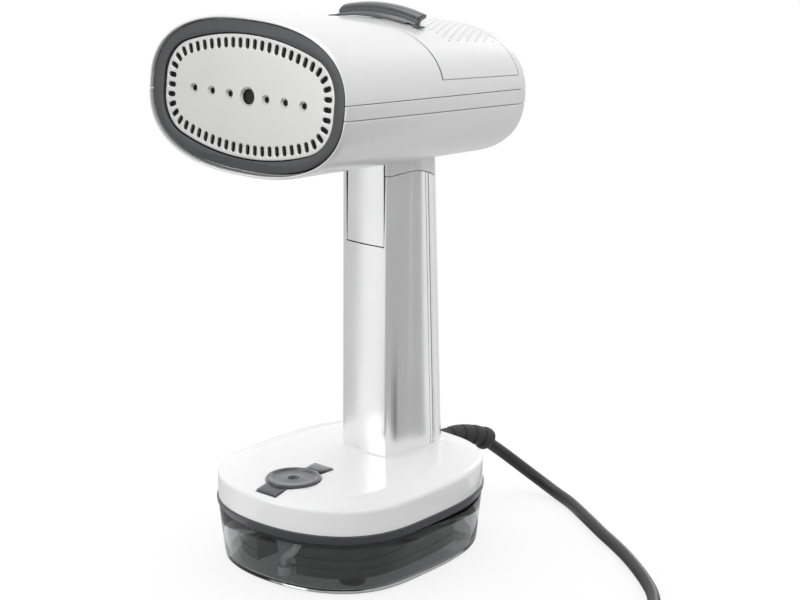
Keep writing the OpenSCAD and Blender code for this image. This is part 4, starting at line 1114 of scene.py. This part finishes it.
RELIEF_ROUTE = [
    (0, 69, 41.5), (0, 74, 41.5), (0.8, 82, 41.8), (2.2, 90, 41.7), (3.8, 97, 40.4), (5.6, 103.5, 38.4),
    (7.2, 108.6, 35.6), (8.2, 111.6, 33)
]
CORD_ROUTE = [
    (7.8, 110.6, 33.8), (9.4, 114.6, 29.8), (11.6, 119, 25.8), (16, 124.5, 20), (24, 129.5, 13),
    (34, 131.5, 7.6), (45, 130, 4.4), (58, 125, 3.4), (72, 116.5, 3.4), (86, 107.5, 3.4), (100, 98.5, 3.4),
    (114, 90, 3.4), (128, 81, 3.4), (143, 70, 3.4), (157, 58.5, 3.4), (169, 47, 3.4), (179, 33.5, 3.4),
    (186, 18, 3.4), (190.4, 1, 3.4), (192, -16, 3.4), (192.2, -32, 3.4)
]
COIL_MIDDLE = (236.0, -32.0)
COIL_TURN_R = 37.0
LEAD_LENGTH = 34.0


def step_up(a, start, end):
    """Smooth climb from 0 to 1 between two angles."""
    share = share_of(a, start, end)
    return share * share * (3 - 2 * share)


def coil_place(turn, a):
    """Radius and height of the cord in a turn of the coil, at an angle from its left side.

    Turns 0 to 2 lie on the floor and go inwards, turns 3 and 4 lie on them and go outwards,
    and turn 5 rolls over its neighbour to the top.
    """
    level = CORD_D / 2
    if turn < 3:
        start_r = COIL_TURN_R + (1 - turn) * CORD_D
        shift = step_up(a, 210, 360) if turn < 2 else 0.0
        climb = step_up(a, 250, 360) if turn == 2 else 0.0
        return start_r - shift * CORD_D, level + climb * CORD_D
    if turn < 5:
        start_r = COIL_TURN_R + (turn - 4) * CORD_D
        return start_r + step_up(a, 190, 310) * CORD_D, level + CORD_D
    roll = math.radians(90 * step_up(a, 130, 245))
    return COIL_TURN_R + CORD_D * math.cos(roll), level + CORD_D + CORD_D * math.sin(roll)


def coil_path(turns=6, steps=48):
    """The coil's turns, and the straight lead to the plug."""
    line = []
    for k in range(turns * steps):
        turn, step = divmod(k, steps)
        a = 360 * (step + 1) / steps
        r, z = coil_place(turn, a)
        angle = math.radians(180 + a)
        line.append((COIL_MIDDLE[0] + r * math.cos(angle), COIL_MIDDLE[1] + r * math.sin(angle), z))
    x, y, z = line[-1]
    return line + [(x, lead, z) for lead in between(y, y - LEAD_LENGTH, 8)[1:]]


def relief_radius(share):
    """Ribbed taper that ends in a rounded bulb."""
    ribs, bulb_start = 5, 0.8
    if share > bulb_start:
        swell = math.sin(math.pi * min((share - bulb_start) / (1 - bulb_start) * 0.84 + 0.16, 1.0))
        return 4.4 + 2.3 * math.sqrt(max(swell, 0.0))
    wave = math.cos(2 * math.pi * ribs * share / bulb_start)
    groove = 0.75 if wave > 0.72 and share > 0.1 else 0.0
    return 4.9 + 1.0 * share - groove


def build_cord():
    """Strain relief, and one cord from it to the coil and on to the plug."""
    relief = shade(swept("cord_strain_relief", spline_path(RELIEF_ROUTE, 14), relief_radius, 32), 50)
    profile = [(0.01, 68), (6.6, 68), (7, 68.4), (7, 71.3), (6.5, 71.8), (0.01, 71.8)]
    join(relief, [shade(turned("relief_collar", profile, 48, (0, 0, RELIEF_ROUTE[0][2]), "Y"))])
    place_piece(relief, "root", "relief", "black_rubber", "strain_relief")
    path = spline_path(CORD_ROUTE, 4) + [Vector(p) for p in coil_path()]
    cord = shade(swept("mains_cord", path, CORD_D / 2, 20), 60)
    place_piece(cord, "root", "cord", "cord_rubber", "cord", "cord_coil")


# ---------------------------------------------------------------- nodes kept from the frame

KEPT_NODES = {
    "chamber_gasket": "rubber", "steam_chamber": "cast", "chamber_lid": "cast", "chamber_screws": "steel",
    "heating_element": "steel", "thermostat": "black", "thermal_fuse": "steel", "steam_nozzle": "brass",
    "slide_switch": "black", "handle_screws": "steel", "trigger_pin": "steel", "trigger_spring": "steel",
    "micro_switch": "black", "water_tube": "hose", "wire_loom": "rubber", "chassis_screws": "steel",
    "pump_housing": "housing", "pump": "black", "pump_mounts": "rubber", "inlet_hose": "hose",
    "control_board": "board", "cord_clamp": "black", "fill_neck": "band", "suction_filter": "milky",
    "tank_gasket": "rubber", "tank_feet": "rubber", "coil_tie": "rubber", "plug_body": "rubber",
    "plug_pins": "steel",
}


# ---------------------------------------------------------------- camera, light and floor

LAMP_TARGET = (0, 0, 0.15)
FLOOR_Z = -0.1
CARD_Z = -0.06
CARD_REACH = (30, 3000)
# A card is (name, first angle, last angle, tone)
CARDS = (("dark_card", -113, 50, 0.42), ("left_card", -182, -133, 0.58), ("rear_card", 58, 178, 0.76))


def build_camera():
    """Camera with a long lens, in front and to the right of the object."""
    data = bpy.data.cameras.new("studio_camera")
    data.lens = 100.17
    data.sensor_width = 36.0
    camera = new_object("studio_camera", data)
    camera.location = (0.7661, -0.8489, 0.4686)
    camera.rotation_euler = (math.radians(74.01), 0, math.radians(40.68))
    bpy.context.scene.camera = camera


def add_lamp(name, place, width, power, height=None):
    """Softbox that faces the middle of the object. Without a height it is square."""
    data = bpy.data.lights.new(name, "AREA")
    data.energy = power
    data.shape = "RECTANGLE" if height else "SQUARE"
    data.size = width
    if height:
        data.size_y = height
    lamp = new_object(name, data)
    lamp.location = place
    lamp.rotation_euler = (Vector(LAMP_TARGET) - Vector(place)).to_track_quat("-Z", "Y").to_euler()


def empty_tree(owner):
    """Empty node tree of a material or of the world."""
    owner.use_nodes = True
    owner.node_tree.nodes.clear()
    return owner.node_tree


def seen_rays(tree):
    """1 for rays by which the eye, a mirror or glass shows a surface, and 0 for rays that light one."""
    rays = add_node(tree, "LightPath").outputs
    value = rays["Is Camera Ray"]
    for name in ("Is Glossy Ray", "Is Transmission Ray"):
        value = add_node(tree, "Math", {0: value, 1: rays[name]}, operation="MAXIMUM").outputs["Value"]
    return value


def mix_shaders(tree, share, first, second):
    return add_node(tree, "MixShader", {"Fac": share, 1: first, 2: second}).outputs["Shader"]


def build_world():
    """Pale room that is white to the eye and in mirrors, and softer as light."""
    world = bpy.data.worlds.new("studio_world")
    tree = empty_tree(world)
    parts = add_node(tree, "SeparateXYZ", {"Vector": add_node(tree, "TexCoord").outputs["Generated"]})
    ramp = add_node(tree, "ValToRGB", {"Fac": parts.outputs["Z"]})
    low, high = ramp.color_ramp.elements
    low.position, low.color = 0.0, (0.84, 0.84, 0.845, 1)
    high.position, high.color = 0.6, (1, 1, 1, 1)
    room = add_node(tree, "Background", {"Strength": 0.95, "Color": ramp.outputs["Color"]})
    seen = add_node(tree, "Background", {"Strength": 1.0, "Color": (1, 1, 1, 1)})
    mix = mix_shaders(tree, seen_rays(tree), room.outputs["Background"], seen.outputs["Background"])
    add_node(tree, "OutputWorld", {"Surface": mix})
    bpy.context.scene.world = world


def build_floor():
    """Pale floor that shows white to the eye, keeps a soft shadow near the object and returns less light."""
    half = sizes().floor / MM / 2
    corners = [(x, y, FLOOR_Z) for x, y in ((-half, -half), (half, -half), (half, half), (-half, half))]
    floor = add_mesh("studio_floor", corners, [(0, 1, 2, 3)])
    made = bpy.data.materials.new("studio_floor")
    tree = empty_tree(made)
    far = add_node(tree, "VectorMath", {0: add_node(tree, "TexCoord").outputs["Object"]}, operation="LENGTH")
    fade = add_node(tree, "MapRange", {"From Min": 0.3, "From Max": 0.9, "To Min": 0.8, "To Max": 1.0,
                                       "Value": far.outputs["Value"]}, interpolation_type="SMOOTHSTEP")
    white = add_node(tree, "BsdfDiffuse", {"Color": (0.9, 0.9, 0.9, 1)})
    glow = add_node(tree, "Emission", {"Color": (1, 1, 1, 1)})
    seen = mix_shaders(tree, fade.outputs["Result"], white.outputs["BSDF"], glow.outputs["Emission"])
    matt = add_node(tree, "BsdfDiffuse", {"Color": (0.5, 0.5, 0.5, 1)})
    mix = mix_shaders(tree, seen_rays(tree), matt.outputs["BSDF"], seen)
    add_node(tree, "OutputMaterial", {"Surface": mix})
    floor.data.materials.append(made)


def build_cards():
    """Grey cards on the floor that only mirrors see: they put soft tones on the handle and the shells."""
    for name, start, end, tone in CARDS:
        angles = [math.radians(a) for a in between(start, end, 24)]
        rows = [[(r * math.cos(a), HANDLE_MIDDLE[1] + r * math.sin(a), CARD_Z) for a in angles]
                for r in CARD_REACH]
        card = sheet_grid(name, rows)
        made = bpy.data.materials.new(name)
        tree = empty_tree(made)
        glow = add_node(tree, "Emission", {"Color": (tone, tone, tone, 1)})
        add_node(tree, "OutputMaterial", {"Surface": glow.outputs["Emission"]})
        card.data.materials.append(made)
        for kind in ("camera", "diffuse", "shadow", "transmission"):
            setattr(card, "visible_" + kind, False)


def build_lamps():
    """Softboxes in front and above, and a strip behind for the rims."""
    add_lamp("front_softbox", (-0.6, -1.15, 0.6), width=0.5, power=2.4, height=0.7)
    add_lamp("top_softbox", (-0.3, 0.2, 1.9), width=1.4, power=11)
    add_lamp("rear_strip", (-0.3, 1.25, 0.4), width=0.3, power=1.6, height=0.75)


# ---------------------------------------------------------------- operators

class STEAMER_OT_stage(bpy.types.Operator):
    """Sets up the camera, the lamps, the room and the floor"""

    bl_idname = "steamer.stage"
    bl_label = "Stage"

    def execute(self, context):
        context.scene.view_settings.view_transform = "Standard"
        build_camera()
        build_world()
        build_floor()
        build_cards()
        build_lamps()
        return {"FINISHED"}


class STEAMER_OT_cord(bpy.types.Operator):
    """Lays the mains cord with its strain relief and coil, on to the plug"""

    bl_idname = "steamer.cord"
    bl_label = "Cord"

    def execute(self, context):
        build_cord()
        return {"FINISHED"}


class STEAMER_OT_head(bpy.types.Operator):
    """Builds the head's shells, trims, rear cover and rear cap"""

    bl_idname = "steamer.head"
    bl_label = "Head"

    def execute(self, context):
        build_upper_shell()
        build_lower_shell()
        build_trims()
        build_rear_cover()
        build_rear_cap()
        return {"FINISHED"}


class STEAMER_OT_plate(bpy.types.Operator):
    """Builds the steam plate and its bezel"""

    bl_idname = "steamer.plate"
    bl_label = "Steam Plate"

    def execute(self, context):
        build_bezel()
        build_plate()
        return {"FINISHED"}


class STEAMER_OT_switch(bpy.types.Operator):
    """Builds the sliding steam switch on the crown"""

    bl_idname = "steamer.switch"
    bl_label = "Steam Switch"

    def execute(self, context):
        build_switch()
        return {"FINISHED"}


class STEAMER_OT_handle(bpy.types.Operator):
    """Builds the two handle shells and the trigger"""

    bl_idname = "steamer.handle"
    bl_label = "Handle"

    def execute(self, context):
        build_handle_front()
        build_handle_rear()
        build_trigger()
        return {"FINISHED"}


class STEAMER_OT_base(bpy.types.Operator):
    """Builds the base cover, the band and the fill plug"""

    bl_idname = "steamer.base"
    bl_label = "Base"

    def execute(self, context):
        build_base_cover()
        build_band()
        build_fill_plug()
        build_plug_anchor()
        return {"FINISHED"}


class STEAMER_OT_tank(bpy.types.Operator):
    """Builds the water tank and the suction tube in it"""

    bl_idname = "steamer.tank"
    bl_label = "Water Tank"

    def execute(self, context):
        build_tank()
        build_suction()
        return {"FINISHED"}


class STEAMER_OT_inner(bpy.types.Operator):
    """Gives the inner pieces of the frame their finishes"""

    bl_idname = "steamer.inner"
    bl_label = "Inner Pieces"

    def execute(self, context):
        for node, finish in KEPT_NODES.items():
            coat_node(node, finish)
        return {"FINISHED"}


OPERATORS = (
    STEAMER_OT_stage, STEAMER_OT_cord, STEAMER_OT_head, STEAMER_OT_plate, STEAMER_OT_switch,
    STEAMER_OT_handle, STEAMER_OT_base, STEAMER_OT_tank, STEAMER_OT_inner,
)


class STEAMER_PT_panel(bpy.types.Panel):
    """Sidebar panel that lists the settings and the steps"""

    bl_idname = "STEAMER_PT_panel"
    bl_label = "Garment Steamer"
    bl_space_type = "VIEW_3D"
    bl_region_type = "UI"
    bl_category = "Steamer"

    def draw(self, context):
        layout = self.layout
        for settings in (context.scene.steamer_finishes, context.scene.steamer_sizes):
            column = layout.column()
            for name in settings.__annotations__:
                column.prop(settings, name)
        for operator in OPERATORS:
            layout.operator(operator.bl_idname)


CLASSES = (SteamerFinishes, SteamerSizes, *OPERATORS, STEAMER_PT_panel)


def register():
    for cls in CLASSES:
        bpy.utils.register_class(cls)
    bpy.types.Scene.steamer_finishes = PointerProperty(type=SteamerFinishes)
    bpy.types.Scene.steamer_sizes = PointerProperty(type=SteamerSizes)


def unregister():
    del bpy.types.Scene.steamer_sizes
    del bpy.types.Scene.steamer_finishes
    for cls in reversed(CLASSES):
        bpy.utils.unregister_class(cls)


def main():
    register()
    bpy.ops.steamer.stage()
    bpy.ops.steamer.cord()
    bpy.ops.steamer.head()
    bpy.ops.steamer.plate()
    bpy.ops.steamer.switch()
    bpy.ops.steamer.handle()
    bpy.ops.steamer.base()
    bpy.ops.steamer.tank()
    bpy.ops.steamer.inner()
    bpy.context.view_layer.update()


if __name__ == "__main__":
    main()
